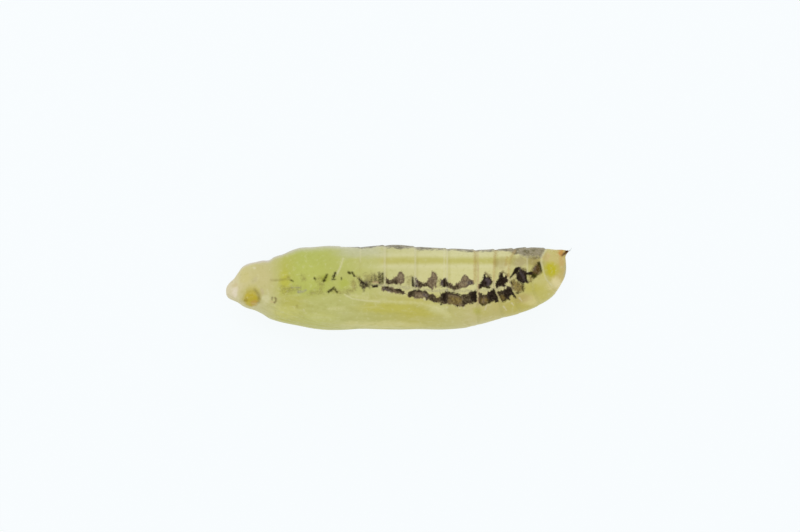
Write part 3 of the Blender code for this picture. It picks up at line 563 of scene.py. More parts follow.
ZONES: tuple[Zone, ...] = (
    Zone("whitish patch of the nose", (234.5, 292), (5, 7), (231, 220, 195), 0.9),
    Zone("tan brow", (234.5, 284.5), (4.2, 3), (208, 192, 145), 0.6),
    Zone("tan crown", (244.5, 276.5), (8, 11), (206, 197, 129), 0.6),
    Zone("beige shield", (261, 275), (13, 17), (202, 193, 135), 0.7),
    Zone("lilac top of the shield", (260, 261), (8, 3.6), (206, 196, 177), 0.7),
    Zone("grey behind the crown", (254.5, 280.5), (3.6, 5), (194, 184, 147), 0.35),
    Zone("pale cheek", (265.5, 299.5), (5.5, 6), (214, 210, 161), 0.8),
    Zone("pink behind the eye", (261.4, 292), (3, 3.8), (196, 181, 142), 0.6),
    Zone("yellow dot of the crown", (254.5, 268), (1.9, 1.9), (216, 211, 157), 0.8),
    Zone("yellow-olive shoulder", (285, 281), (7, 15), (190, 188, 77), 0.85),
    Zone("bright green thorax", (309, 274), (19, 18), (187, 193, 101), 0.75),
    Zone("green mid thorax", (345, 277), (14, 12), (183, 186, 105), 0.7),
    Zone("grey-green top of the thorax", (362, 253), (34, 8), (197, 196, 165), 0.6),
    Zone("pale green flank of segment 1", (370, 262), (15, 9), (190, 192, 122), 0.6),
    Zone("pale wing base", (330, 303), (30, 11), (190, 192, 119), 0.6),
    Zone("yellow low cheek", (292, 303), (14, 10), (186, 183, 93), 0.6),
    Zone("olive of the wing", (388, 308), (38, 7), (193, 187, 87), 0.75),
    Zone("olive of the wing tip", (420, 313), (26, 6), (191, 184, 85), 0.7),
    # painted rim light along the belly's outline
    Zone("belly edge with painted rim light", (380, 325), (60, 5), (216, 209, 143), 0.6),
    # painted sheen on the wing case's margin
    Zone("wing margin with painted sheen", (438, 309), (15, 7), (204, 201, 139), 0.7),
    Zone("olive low segments", (482, 313), (11, 7), (192, 184, 101), 0.6),
    Zone("olive low tail", (520, 307), (20, 11), (193, 182, 89), 0.6),
    Zone("pale tail side", (541, 292), (12, 12), (196, 189, 97), 0.5),
    Zone("brown flank of segment 7", (519, 262), (12, 7), (172, 160, 117), 0.75),
    Zone("brown flank of segment 8", (534, 262), (11, 8), (162, 148, 91), 0.85),
    Zone("olive in the stripe of segment 6", (496.5, 263), (4, 5), (164, 150, 95), 0.6),
    Zone("brown flank of segment 6", (502, 263), (7, 8), (182, 170, 119), 0.6),
    Zone("pale low tail", (531, 301), (12, 7), (224, 212, 149), 0.65),
    Zone("pale low end", (555, 284), (9, 9), (238, 226, 175), 0.62),
    Zone("yellow dome of the end", (552, 262), (9, 14), (203, 190, 123), 0.8),
    Zone("yellow-green spot of the end", (550.6, 269.8), (10.4, 10), (190, 182, 34), 0.95),
    Zone("tan rear of the end", (560.4, 261), (4.2, 8), (201, 170, 107), 0.7),
    Zone("rust foot of the cremaster", (560.8, 253.6), (4.2, 4.8), (198, 140, 67), 0.85),
    Zone("grey-green rear rim", (565.4, 271), (2.4, 11), (178, 176, 131), 0.6),
    Zone("pink speck", (546.5, 248), (1.8, 1.2), (198, 172, 167), 0.6),
    Zone("glow over the eye", (251, 294.5), (12, 11.5), (190, 179, 84), 0.85),
    Zone("eye", (250.3, 299.1), (9.7, 9.2), (187, 170, 52), 0.95, 0.25),
    Zone("dark foot of the eye", (245.4, 300.6), (3.2, 2.4), (156, 138, 48), 0.7),
    Zone("orange foot of the eye", (254, 302.6), (4.6, 3.8), (190, 156, 78), 0.8),
    Zone("bright front of the eye", (246.6, 296.4), (2.6, 2.6), (200, 184, 76), 0.6),
    Zone("bright flank of the tail", (532, 288), (13, 7), (189, 181, 79), 0.6),
    Zone("green spot under segment 5", (477, 311), (5, 5), (182, 181, 75), 0.55),
    Zone("brown behind the thorax", (354.6, 286), (3, 6), (164, 148, 89), 0.5),
    Zone("green halo of the slash", (325.4, 277.6), (7, 6), (160, 166, 61), 0.65),
    Zone("pinkish low segment", (522, 298), (13, 6), (180, 158, 99), 0.5),
    Zone("pale low front", (286, 312), (18, 9), (208, 206, 125), 0.55),
    Zone("pale low wing", (320, 318), (26, 8), (202, 203, 123), 0.5),
    Zone("green disc of the thorax", (344, 284), (7.4, 7.4), (175, 184, 75), 0.6),
    Zone("pinkish front of the dome", (546.6, 256.6), (4.6, 7), (205, 178, 127), 0.6),
)


@dataclass(frozen=True)
class Rib:
    """One cross-section: where it meets the back and the belly, and how wide it is to each side."""

    name: str
    back: Point
    belly: Point
    half_width: float
    seam: float = 0.0
    bow: float = 0.0


# seam is the depth of the groove behind a segment, and bow how far it swings headwards on the side.
RIBS: tuple[Rib, ...] = (
    Rib("tip of head", (0.00, -0.20), (0.00, -0.20), 0.00),
    Rib("nose", (0.04, 0.06), (0.05, -0.46), 0.30),
    Rib("brow", (0.23, 0.33), (0.24, -0.65), 0.52),
    Rib("brow notch", (0.46, 0.54), (0.50, -0.76), 0.70),
    Rib("crown", (0.73, 0.93), (0.77, -0.90), 0.88),
    Rib("crown top", (0.99, 1.26), (1.02, -1.08), 1.03),
    Rib("eyes", (1.31, 1.43), (1.31, -1.20), 1.15),
    Rib("neck", (1.66, 1.51), (1.66, -1.30), 1.27),
    Rib("shield", (2.13, 1.61), (2.13, -1.52), 1.43),
    Rib("shield rear", (2.54, 1.64), (2.54, -1.76), 1.60),
    Rib("collar", (2.89, 1.86), (2.89, -1.87), 1.75, seam=0.015),
    Rib("shoulder", (3.30, 1.97), (3.30, -1.98), 1.88),
    Rib("fore thorax", (3.77, 2.18), (3.77, -2.08), 2.02),
    Rib("thorax top", (4.29, 2.35), (4.29, -2.18), 2.15),
    Rib("mid thorax", (5.05, 2.40), (5.05, -2.33), 2.29),
    Rib("thorax", (5.93, 2.45), (5.93, -2.42), 2.38),
    Rib("hind thorax", (6.75, 2.42), (6.80, -2.42), 2.42),
    Rib("segment 1", (7.86, 2.41), (7.86, -2.36), 2.44, seam=0.02),
    Rib("segment 2", (9.30, 2.52), (9.30, -2.39), 2.45, seam=0.04),
    Rib("middle of 2", (10.20, 2.53), (10.20, -2.40), 2.45),
    Rib("segment 3", (11.08, 2.44), (11.08, -2.38), 2.43, seam=0.04),
    Rib("segment 4", (12.95, 2.33), (12.95, -2.39), 2.37, seam=0.04),
    Rib("middle of 4", (13.71, 2.30), (13.83, -2.32), 2.31),
    Rib("segment 5", (14.59, 2.25), (14.71, -2.18), 2.22, seam=0.05, bow=0.03),
    Rib("segment 6", (15.76, 2.28), (16.17, -1.77), 2.04, seam=0.05, bow=0.20),
    Rib("segment 7", (16.84, 2.34), (17.22, -1.49), 1.82, seam=0.05, bow=0.42),
    Rib("segment 8", (17.63, 2.39), (18.33, -1.03), 1.55, seam=0.04, bow=0.26),
    Rib("segment 9", (18.71, 2.34), (19.36, -0.25), 1.17, seam=0.04, bow=0.48),
    Rib("segment 10", (19.04, 2.28), (19.66, 0.24), 0.94, bow=0.30),
    Rib("vent", (19.33, 2.25), (19.88, 0.70), 0.70, bow=0.15),
    Rib("blunt end", (19.56, 2.25), (19.95, 1.18), 0.48),
    Rib("end corner", (19.68, 2.25), (19.93, 1.58), 0.32),
    Rib("cremaster base", (19.77, 2.24), (19.91, 1.80), 0.20),
    Rib("cremaster", (19.89, 2.22), (19.96, 1.96), 0.12),
    Rib("cremaster end", (20.00, 2.20), (20.05, 2.08), 0.06),
    Rib("bristles", (20.12, 2.25), (20.15, 2.19), 0.03),
    Rib("bristle tips", (20.30, 2.39), (20.30, 2.39), 0.00),
)

# Edges of the cases that lie along the belly, as (x, girth). Girth is -1 on the belly's middle line, 0 on
# the side and 1 on the back's middle line.
EDGES: dict[str, tuple[Point, ...]] = {
    "proboscis": ((2.6, -0.90), (4.0, -0.925), (8.0, -0.935), (12.0, -0.94), (14.3, -0.95)),
    "fore leg": ((2.6, -0.66), (4.0, -0.76), (6.0, -0.83), (8.0, -0.895), (8.8, -0.92), (14.3, -0.93)),
    "mid leg": ((2.6, -0.44), (4.0, -0.58), (6.0, -0.72), (8.4, -0.84), (11.6, -0.89), (14.3, -0.90)),
    "antenna": (
        (2.6, -0.25), (3.8, -0.45), (4.7, -0.55), (6.7, -0.68), (8.4, -0.76), (11.0, -0.81), (14.3, -0.85),
    ),
    "wing": (
        (2.6, 0.12), (4.1, 0.07), (4.9, 0.05), (6.1, -0.03), (6.9, -0.11), (7.4, -0.165), (8.4, -0.205),
        (10.2, -0.235), (11.7, -0.255), (12.5, -0.32), (13.2, -0.45), (13.9, -0.62), (14.3, -0.80),
    ),
    "hind wing": ((6.4, -0.06), (7.4, -0.06), (9.1, -0.065), (10.2, -0.11), (11.1, -0.163), (12.1, -0.29)),
}


def blend(low: float, high: float, value: np.ndarray) -> np.ndarray:
    """Smooth step from low to high.

    Args:
        low: where the result leaves 0.
        high: where the result reaches 1.
        value: numbers to read.

    Returns:
        0 below low, 1 above high, and smooth between.
    """
    t = np.clip((value - low) / (high - low), 0.0, 1.0)
    return t * t * (3.0 - 2.0 * t)


def line_through(points: tuple[Point, ...], at: np.ndarray) -> np.ndarray:
    """Straight runs between (place, value) points in order, read at other places."""
    places, values = zip(*points)
    return np.interp(at, places, values)


def curve_through(places: np.ndarray, values: np.ndarray, at: np.ndarray) -> np.ndarray:
    """A smooth curve through values at the given places.

    Args:
        places: increasing places.
        values: the value at each of them.
        at: places to read.

    Returns:
        The curve's value at each place that is read.
    """
    gaps = np.diff(places)
    slopes = np.diff(values) / gaps
    tangents = np.empty_like(values)
    tangents[1:-1] = (slopes[:-1] * gaps[1:] + slopes[1:] * gaps[:-1]) / (gaps[1:] + gaps[:-1])
    tangents[0] = slopes[0]
    tangents[-1] = slopes[-1]
    at = np.clip(at, places[0], places[-1])
    k = np.clip(np.searchsorted(places, at) - 1, 0, len(gaps) - 1)
    t = (at - places[k]) / gaps[k]
    rise = gaps[k] * (tangents[k] * t * (1 - t) ** 2 - tangents[k + 1] * t * t * (1 - t))
    return values[k] + (values[k + 1] - values[k]) * t * t * (3 - 2 * t) + rise


@dataclass(frozen=True)
class Photograph:
    """The photograph's scale on the pupa's middle plane, and where its camera stood."""

    head_tip_px: float = 226.0
    middle_px: float = 288.0
    mm_per_px: float = 0.05865
    size_px: Point = (800.0, 532.0)
    lens_mm: float = 100.0
    sensor_mm: float = 36.0

    @property
    def distance(self) -> float:
        """Distance of the camera from the middle plane."""
        return self.mm_per_px * self.size_px[0] * self.lens_mm / self.sensor_mm

    @property
    def centre(self) -> np.ndarray:
        """The point of the middle plane in the centre of the picture."""
        return self.to_mm((self.size_px[0] / 2, self.size_px[1] / 2))

    def to_mm(self, points: tuple) -> np.ndarray:
        """Pixels to millimetres on the middle plane.

        Args:
            points: one pixel point or a row of them.

        Returns:
            The same points as x and y.
        """
        px = np.asarray(points, float)
        x = (px[..., 0] - self.head_tip_px) * self.mm_per_px
        y = (self.middle_px - px[..., 1]) * self.mm_per_px
        return np.stack([x, y], axis=-1)

    def seen(self, points: np.ndarray) -> np.ndarray:
        """Carries points of the skin along the line of sight to the middle plane, on both sides alike."""
        spread = self.distance / (self.distance - np.abs(points[..., 2:]))
        return self.centre + (points[..., :2] - self.centre) * spread


@dataclass(frozen=True)
class MarkTracer:
    """Measures how deep in each kind of mark a point of the skin lies."""

    photo: Photograph
    reach: float = 0.6

    def depth(self, tone: Tone, seen: np.ndarray) -> np.ndarray:
        """Depth in all marks of one tone.

        Args:
            tone: the kind of mark.
            seen: points carried to the middle plane.

        Returns:
            Distance from the nearest edge, positive inside and never beyond the reach.
        """
        best = np.full(len(seen), -self.reach)
        for patch in PATCHES.get(tone, ()):
            self._keep(best, seen, patch.outline, self._in_outline)
        for stroke in STROKES.get(tone, ()):
            widths = np.array(stroke.widths) * self.photo.mm_per_px / 2
            self._keep(best, seen, stroke.route, partial(self._in_stroke, widths))
        return best

    def _keep(self, best: np.ndarray, seen: np.ndarray, marked: tuple[Point, ...], measure: Measure) -> None:
        """Raises the kept depths near one mark.

        Args:
            best: depths so far, which are changed.
            seen: all points.
            marked: the mark's own points, in pixels.
            measure: function of the mark's points in millimetres and the points near them.
        """
        corners = self.photo.to_mm(marked)
        low = corners.min(axis=0) - self.reach
        high = corners.max(axis=0) + self.reach
        near = np.flatnonzero(((seen > low) & (seen < high)).all(axis=1))
        if len(near):
            depths = np.maximum(best[near], measure(corners, seen[near]))
            best[near] = np.clip(depths, -self.reach, self.reach)

    @staticmethod
    def _to_segments(
        points: np.ndarray, starts: np.ndarray, ends: np.ndarray
    ) -> tuple[np.ndarray, np.ndarray]:
        """How far points lie from straight segments.

        Args:
            points: places to measure.
            starts: where each segment starts.
            ends: where each segment ends.

        Returns:
            Distance to each segment, and the share of the segment at the nearest place.
        """
        run = ends - starts
        from_start = points[:, None] - starts
        share = np.clip((from_start * run).sum(-1) / np.maximum((run * run).sum(-1), TINY), 0.0, 1.0)
        return np.linalg.norm(from_start - share[..., None] * run, axis=-1), share

    def _in_outline(self, corners: np.ndarray, points: np.ndarray) -> np.ndarray:
        """Depth in a closed outline.

        Args:
            corners: the outline's corners.
            points: places to measure.

        Returns:
            Distance from the outline, negative outside it.
        """
        ends = np.roll(corners, -1, axis=0)
        distance = self._to_segments(points, corners, ends)[0].min(axis=1)
        x, y = points[:, :1], points[:, 1:]
        beside = (corners[:, 1] > y) != (ends[:, 1] > y)
        rise = np.where(ends[:, 1] == corners[:, 1], TINY, ends[:, 1] - corners[:, 1])
        crossing = (ends[:, 0] - corners[:, 0]) * (y - corners[:, 1]) / rise + corners[:, 0]
        inside = (beside & (x < crossing)).sum(axis=1) % 2 == 1
        return np.where(inside, distance, -distance)

    def _in_stroke(self, widths: np.ndarray, route: np.ndarray, points: np.ndarray) -> np.ndarray:
        """Depth in a stroke whose half-width runs evenly from its first to its last value.

        Args:
            widths: half-width at the stroke's start and at its end.
            route: the stroke's points.
            points: places to measure.

        Returns:
            Distance from the stroke's edge, negative outside it.
        """
        lengths = np.linalg.norm(np.diff(route, axis=0), axis=1)
        before = np.concatenate([[0.0], np.cumsum(lengths)[:-1]])
        distance, share = self._to_segments(points, route[:-1], route[1:])
        travelled = (before + share * lengths) / lengths.sum()
        return (widths[0] + (widths[1] - widths[0]) * travelled - distance).max(axis=1)


@dataclass(frozen=True)
class CaseForm:
    """The pupa's body and its relief, read by how far along it a point lies and by its girth."""

    wing_rises: Point = (2.6, 4.2)
    wing_ends: Point = (14.2, 14.45)
    wing_height: float = 0.06
    hind_wing_rises: Point = (6.4, 7.0)
    hind_wing_ends: Point = (11.7, 12.1)
    hind_wing_height: float = 0.03
    beyond_wing: float = 0.035
    soft_edge: float = 0.02
    limbs: tuple[str, ...] = ("proboscis", "fore leg", "mid leg", "antenna")
    limbs_rise: Point = (2.0, 3.0)
    limbs_end: Point = (14.0, 14.5)
    limb_height: float = 0.06
    limb_groove: float = 0.02
    seams_bare: Point = (14.3, 14.4)
    seams_full_girth: float = -0.45
    belly_seams: float = 0.35
    seam_lip: float = 0.35
    lip_ahead: float = 0.12
    groove_ahead: float = 0.05
    groove_behind: float = 0.20
    eye_centre: Point = (1.53, -0.64)
    eye_radius: float = 0.46
    eye_height: float = 0.16
    shield_edge: tuple[Point, ...] = ((-0.2, 6.0), (0.9, 6.55), (1.7, 6.88), (2.45, 6.70))
    shield_step: float = 0.035
    shield_step_half: float = 0.06
    shield_fades: Point = (0.2, 1.6)
    shield_side: Point = (-0.3, 0.4)
    head_fade: Point = (0.0, 0.8)
    tail_fade: Point = (0.8, 1.6)
    vein_shares: tuple[float, ...] = (0.16, 0.32, 0.47, 0.62, 0.78)
    vein_height: float = 0.012
    vein_width: float = 0.07
    veins_rise: Point = (5.0, 7.5)
    veins_end: Point = (12.0, 14.0)
    spiracle_size: Point = (0.10, 0.07)
    spiracle_height: float = 0.018
    spiracle_rim: float = 0.45
    spiracle_pit: float = 0.5
    spiracle_depth: float = 0.8

    @property
    def places(self) -> np.ndarray:
        """How far along the body each rib lies, as the mean of the runs over the back and the belly."""
        sides = [np.array([getattr(rib, side) for rib in RIBS]) for side in ("back", "belly")]
        runs = [np.linalg.norm(np.diff(side, axis=0), axis=1) for side in sides]
        return np.concatenate([[0.0], np.cumsum((runs[0] + runs[1]) / 2)])

    def points(self, along: np.ndarray, girth: np.ndarray) -> np.ndarray:
        """The smooth body.

        Args:
            along: places along the body.
            girth: girth at each of them.

        Returns:
            x, y and z, where z is the distance from the middle plane.
        """
        places = self.places
        angle = girth * math.pi / 2
        bows = np.array([rib.bow for rib in RIBS])
        place = np.maximum(along - np.interp(along, places, bows) * np.cos(angle) ** 2, 0.0)
        columns = np.array([(*rib.back, *rib.belly, rib.half_width) for rib in RIBS]).T
        back_x, back_y, belly_x, belly_y, width = (curve_through(places, column, place) for column in columns)
        up = (1 + np.sin(angle)) / 2
        x = belly_x + (back_x - belly_x) * up
        y = belly_y + (back_y - belly_y) * up
        return np.stack([x, y, np.maximum(width, 0.0) * np.cos(angle)], axis=-1)

    def hind_wing_edge(self, x: np.ndarray) -> np.ndarray:
        """Girth of the hind wing's edge, or -1 where there is no hind wing."""
        here = (x > self.hind_wing_rises[0]) & (x < self.hind_wing_ends[1])
        return np.where(here, line_through(EDGES["hind wing"], x), -1.0)

    def seam_relief(self, along: np.ndarray, x: np.ndarray, girth: np.ndarray) -> np.ndarray:
        """A lip at the rear of each segment, and a groove that rises slowly into the next, outside the cases.

        Args:
            along: places along the body.
            x: x of the same points.
            girth: girth of the same points.

        Returns:
            Height above the smooth body.
        """
        relief = np.zeros_like(along)
        for place, rib in zip(self.places, RIBS):
            past = along - place
            lip = self.seam_lip * np.exp(-(((past + self.lip_ahead) / self.lip_ahead) ** 2))
            width = np.where(past < 0, self.groove_ahead, self.groove_behind)
            relief += rib.seam * (lip - np.exp(-((past / width) ** 2)))
        edge = np.maximum(line_through(EDGES["wing"], x), self.hind_wing_edge(x))
        depth = self.belly_seams + (1 - self.belly_seams) * blend(-1.0, self.seams_full_girth, girth)
        bare = np.maximum(blend(0.0, self.beyond_wing, girth - edge), blend(*self.seams_bare, x))
        return relief * depth * bare

    def wing_relief(self, x: np.ndarray, girth: np.ndarray) -> np.ndarray:
        """The raised fore wing case with its veins, and the narrow hind wing case above it.

        Args:
            x: x of the points.
            girth: girth of the same points.

        Returns:
            Height above the smooth body.
        """
        edge = line_through(EDGES["wing"], x)
        inner = line_through(EDGES["antenna"], x)
        soft = self.soft_edge
        within = blend(-self.beyond_wing, 0.0, edge - girth) * blend(-soft, soft, girth - inner)
        ends = blend(*self.wing_rises, x) * (1 - blend(*self.wing_ends, x))
        hind = blend(-soft, soft, self.hind_wing_edge(x) - girth) * blend(0.0, soft, girth - edge)
        hind = hind * blend(*self.hind_wing_rises, x) * (1 - blend(*self.hind_wing_ends, x))
        across = (girth - inner) / np.maximum(edge - inner, TINY)
        veins = sum(np.exp(-(((across - share) / self.vein_width) ** 2)) for share in self.vein_shares)
        veins = veins * blend(*self.veins_rise, x) * (1 - blend(*self.veins_end, x))
        return (self.wing_height + self.vein_height * veins) * within * ends + self.hind_wing_height * hind

    def limb_relief(self, x: np.ndarray, girth: np.ndarray) -> np.ndarray:
        """Rounded ridges for the proboscis, legs and antennae, side by side, with a groove at each edge.

        Args:
            x: x of the points.
            girth: girth of the same points.

        Returns:
            Height above the smooth body.
        """
        relief = np.zeros_like(x)
        inner = np.full_like(x, -1.0)
        for name in self.limbs:
            outer = line_through(EDGES[name], x)
            across = np.clip((girth - inner) / np.maximum(outer - inner, TINY), 0.0, 1.0)
            inside = (girth >= inner) & (girth <= outer)
            ridge = self.limb_height * np.sqrt(np.maximum(np.sin(math.pi * across), 0.0)) - self.limb_groove
            relief += np.where(inside, ridge, 0.0)
            inner = outer
        return relief * blend(*self.limbs_rise, x) * (1 - blend(*self.limbs_end, x))

    def eye_relief(self, x: np.ndarray, y: np.ndarray) -> np.ndarray:
        """A round dome for each eye."""
        away = np.hypot(x - self.eye_centre[0], y - self.eye_centre[1]) / self.eye_radius
        return self.eye_height * np.sqrt(np.clip(1 - away**2, 0.0, 1.0))

    def shield_relief(self, x: np.ndarray, y: np.ndarray) -> np.ndarray:
        """The low step in which the thorax shield ends, behind the wing bases.

        Args:
            x: x of the points.
            y: y of the same points.

        Returns:
            Height above the smooth body.
        """
        heights, edge_x = zip(*self.shield_edge)
        ahead = np.interp(y, heights, edge_x) - x
        step = blend(-self.shield_step_half, self.shield_step_half, ahead)
        return self.shield_step * step * (1 - blend(*self.shield_fades, ahead)) * blend(*self.shield_side, y)

    def spiracle_relief(self, seen: np.ndarray, photo: Photograph) -> np.ndarray:
        """A small raised oval rim with a pit in it for each breathing hole.

        Args:
            seen: points carried to the middle plane.
            photo: the photograph's scale.

        Returns:
            Height above the smooth body.
        """
        relief = np.zeros(seen.shape[:-1])
        for hole in (stroke for stroke in STROKES[Tone.SPIRACLE_AND_GLINT] if stroke.name.startswith("spiracle")):
            centre = photo.to_mm(hole.route).mean(axis=0)
            away = np.linalg.norm((seen - centre) / np.array(self.spiracle_size), axis=-1)
            rim = np.exp(-(((away - 1) / self.spiracle_rim) ** 2))
            pit = np.exp(-((away / self.spiracle_pit) ** 2))
            relief += self.spiracle_height * (rim - self.spiracle_depth * pit)
        return relief

    def surface(
        self, along: np.ndarray, girth: np.ndarray, photo: Photograph
    ) -> tuple[np.ndarray, np.ndarray]:
        """The body with its relief.

        Args:
            along: places along the body, one row for each ring.
            girth: girth of each point of each ring.
            photo: the photograph, for marks that are raised.

        Returns:
            The points, and how high each of them stands above the smooth body.
        """
        points = self.points(along, girth)
        x, y = points[..., 0], points[..., 1]
        along_step = np.gradient(points, axis=0)
        around_step = np.gradient(points, axis=1)
        around_step[:, 0] = (0.0, 0.0, 1.0)
        around_step[:, -1] = (0.0, 0.0, -1.0)
        normal = np.cross(along_step, around_step)
        normal /= np.maximum(np.linalg.norm(normal, axis=-1, keepdims=True), TINY)
        relief = self.seam_relief(along, x, girth) + self.wing_relief(x, girth) + self.limb_relief(x, girth)
        relief += self.eye_relief(x, y) + self.shield_relief(x, y)
        relief += self.spiracle_relief(photo.seen(points), photo)
        relief *= blend(*self.head_fade, along) * blend(*self.tail_fade, self.places[-1] - along)
        points = points + normal * relief[..., None]
        points[:, 0, 2] = points[:, -1, 2] = 0.0
        return points, relief


def linear(colour: Colour) -> tuple[float, float, float, float]:
    """A display colour, 0 to 255, in the renderer's linear light with full alpha."""
    shares = [part / 255 for part in colour]
    light = [part / 12.92 if part <= 0.04045 else ((part + 0.055) / 1.055) ** 2.4 for part in shares]
    return (*light, 1.0)


@dataclass(frozen=True)
class Wire:
    """A shader socket that Python's operators work on: each operator adds its Math node."""

    desk: "Desk"
    socket: bpy.types.NodeSocket

    def __add__(self, other: object) -> "Wire":
        """This plus other."""
        return self.desk.math("ADD", self, other)

    def __sub__(self, other: object) -> "Wire":
        """This minus other."""
        return self.desk.math("SUBTRACT", self, other)

    def __rsub__(self, other: object) -> "Wire":
        """Other minus this."""
        return self.desk.math("SUBTRACT", other, self)

    def __mul__(self, other: object) -> "Wire":
        """This times other."""
        return self.desk.math("MULTIPLY", self, other)

    def __abs__(self) -> "Wire":
        """This without its sign."""
        return self.desk.math("ABSOLUTE", self, 0.0)

    __radd__ = __add__
    __rmul__ = __mul__

    def smooth(self, low: float, high: float) -> "Wire":
        """Smooth step between two values.

        Args:
            low: where the result is 0.
            high: where the result is 1; it may be less than low.

        Returns:
            The step.
        """
        if low > high:
            return 1 - self.smooth(high, low)
        sockets = {"Value": self, "From Min": low, "From Max": high}
        return self.desk.node("ShaderNodeMapRange", {"interpolation_type": "SMOOTHSTEP"}, sockets)


@dataclass(frozen=True)
class Fade:
    """Where a layer of colour comes in along a value, how strong it is, and how far noise shifts its edge."""

    start: float
    full: float
    strength: float = 1.0
    wander: float = 0.0

    def mask(self, value: Wire, noise: Wire | None = None) -> Wire:
        """The layer's mask along a value, its edge shifted by the noise if there is one."""
        shifted = value if noise is None else value + noise * self.wander
        return shifted.smooth(self.start, self.full) * self.strength


class Desk:
    """Builds one material around its Principled shader."""

    def __init__(self, name: str) -> None:
        """Starts the material."""
        self.material = bpy.data.materials.new(name)
        self.material.use_nodes = True
        self.tree = self.material.node_tree
        self.shader = self.tree.nodes["Principled BSDF"]

    def node(
        self, kind: str, settings: dict | None = None, sockets: dict | None = None, output: int | str = 0
    ) -> Wire:
        """Adds a node.

        Args:
            kind: the node's type.
            settings: its own settings, set first; "stops" are a colour ramp's places and colours.
            sockets: values or links of its inputs, by name or number.
            output: name or number of the output that is wanted.

        Returns:
            That output.
        """
        made = self.tree.nodes.new(kind)
        for name, setting in (settings or {}).items():
            if name == "stops":
                self._set_stops(made.color_ramp, setting)
            else:
                setattr(made, name, setting)
        for name, value in (sockets or {}).items():
            self.feed(made.inputs[name], value)
        return Wire(self, made.outputs[output])

    @staticmethod
    def _set_stops(ramp: bpy.types.ColorRamp, stops: list[tuple[float, Colour]]) -> None:
        """Gives a ramp its stops.

        Args:
            ramp: the node's own ramp.
            stops: places from 0 to 1 and the colour at each.
        """
        while len(ramp.elements) < len(stops):
            ramp.elements.new(1.0)
        for element, (place, colour) in zip(ramp.elements, stops):
            element.position = place
            element.color = linear(colour)

    def feed(self, socket: bpy.types.NodeSocket, value: object) -> None:
        """Links a wire to a socket, or sets its value.

        Args:
            socket: the input.
            value: a wire or a value.
        """
        if isinstance(value, Wire):
            self.tree.links.new(value.socket, socket)
        else:
            socket.default_value = value

    def set(self, **values: object) -> None:
        """Sets or links the shader's sockets; an underscore in a name stands for a space."""
        for name, value in values.items():
            self.feed(self.shader.inputs[name.replace("_", " ")], value)

    def cover(self, piece: bpy.types.Object) -> None:
        """Puts the material on a piece."""
        piece.data.materials.append(self.material)

    def math(self, operation: str, first: object, second: object) -> Wire:
        """A Math node on two values."""
        return self.node("ShaderNodeMath", {"operation": operation}, {0: first, 1: second})

    def vector(self, operation: str, first: object, second: object) -> Wire:
        """A Vector Math node on two vectors."""
        return self.node("ShaderNodeVectorMath", {"operation": operation}, {0: first, 1: second})

    def length(self, vector: Wire) -> Wire:
        """How long a vector is."""
        return self.node("ShaderNodeVectorMath", {"operation": "LENGTH"}, {0: vector}, output="Value")

    def split(self, vector: Wire) -> tuple[Wire, Wire]:
        """The first two parts of a vector."""
        parts = self.node("ShaderNodeSeparateXYZ", {}, {0: vector}).socket.node.outputs
        return Wire(self, parts[0]), Wire(self, parts[1])

    def attribute(self, name: str, output: str = "Fac") -> Wire:
        """Reads an attribute of the mesh."""
        return self.node("ShaderNodeAttribute", {"attribute_name": name}, output=output)

    def noise(
        self, place: Wire, scale: float, detail: float = 2.0, stretch: Place = EVEN, output: int | str = 0
    ) -> Wire:
        """Noise around a half.

        Args:
            place: where it is read.
            scale: how dense it is.
            detail: how many finer layers it has.
            stretch: how dense it is along each axis, beside the scale.
            output: name or number of the output that is wanted.

        Returns:
            The noise.
        """
        if stretch != EVEN:
            place = self.vector("MULTIPLY", place, stretch)
        sockets = {"Vector": place, "Scale": scale, "Detail": detail}
        return self.node("ShaderNodeTexNoise", {}, sockets, output)

    def paint(self, under: object, colour: object, mask: object) -> Wire:
        """Lays a colour over another where the mask says."""
        sockets = {"Factor": mask, 6: under, 7: colour}
        return self.node("ShaderNodeMix", {"data_type": "RGBA", "blend_type": "MIX"}, sockets, output=2)

    def ramp(self, value: Wire, stops: list[tuple[float, Colour]]) -> Wire:
        """Colours along a value from 0 to 1."""
        return self.node("ShaderNodeValToRGB", {"stops": stops}, {"Fac": value})

    def bump(self, height: Wire, strength: float) -> Wire:
        """The normal of a surface with this relief, in millimetres."""
        return self.node("ShaderNodeBump", {}, {"Height": height, "Distance": MM, "Strength": strength})


@dataclass(frozen=True)
class MarkInk:
    """How one tone is laid on: its colours, how ragged and soft its edge is, how dense and how specked."""

    colour: Colour
    second: Colour
    ragged: float = 0.08
    soft: float = 0.03
    strength: float = 1.0
    specks: float = 0.0


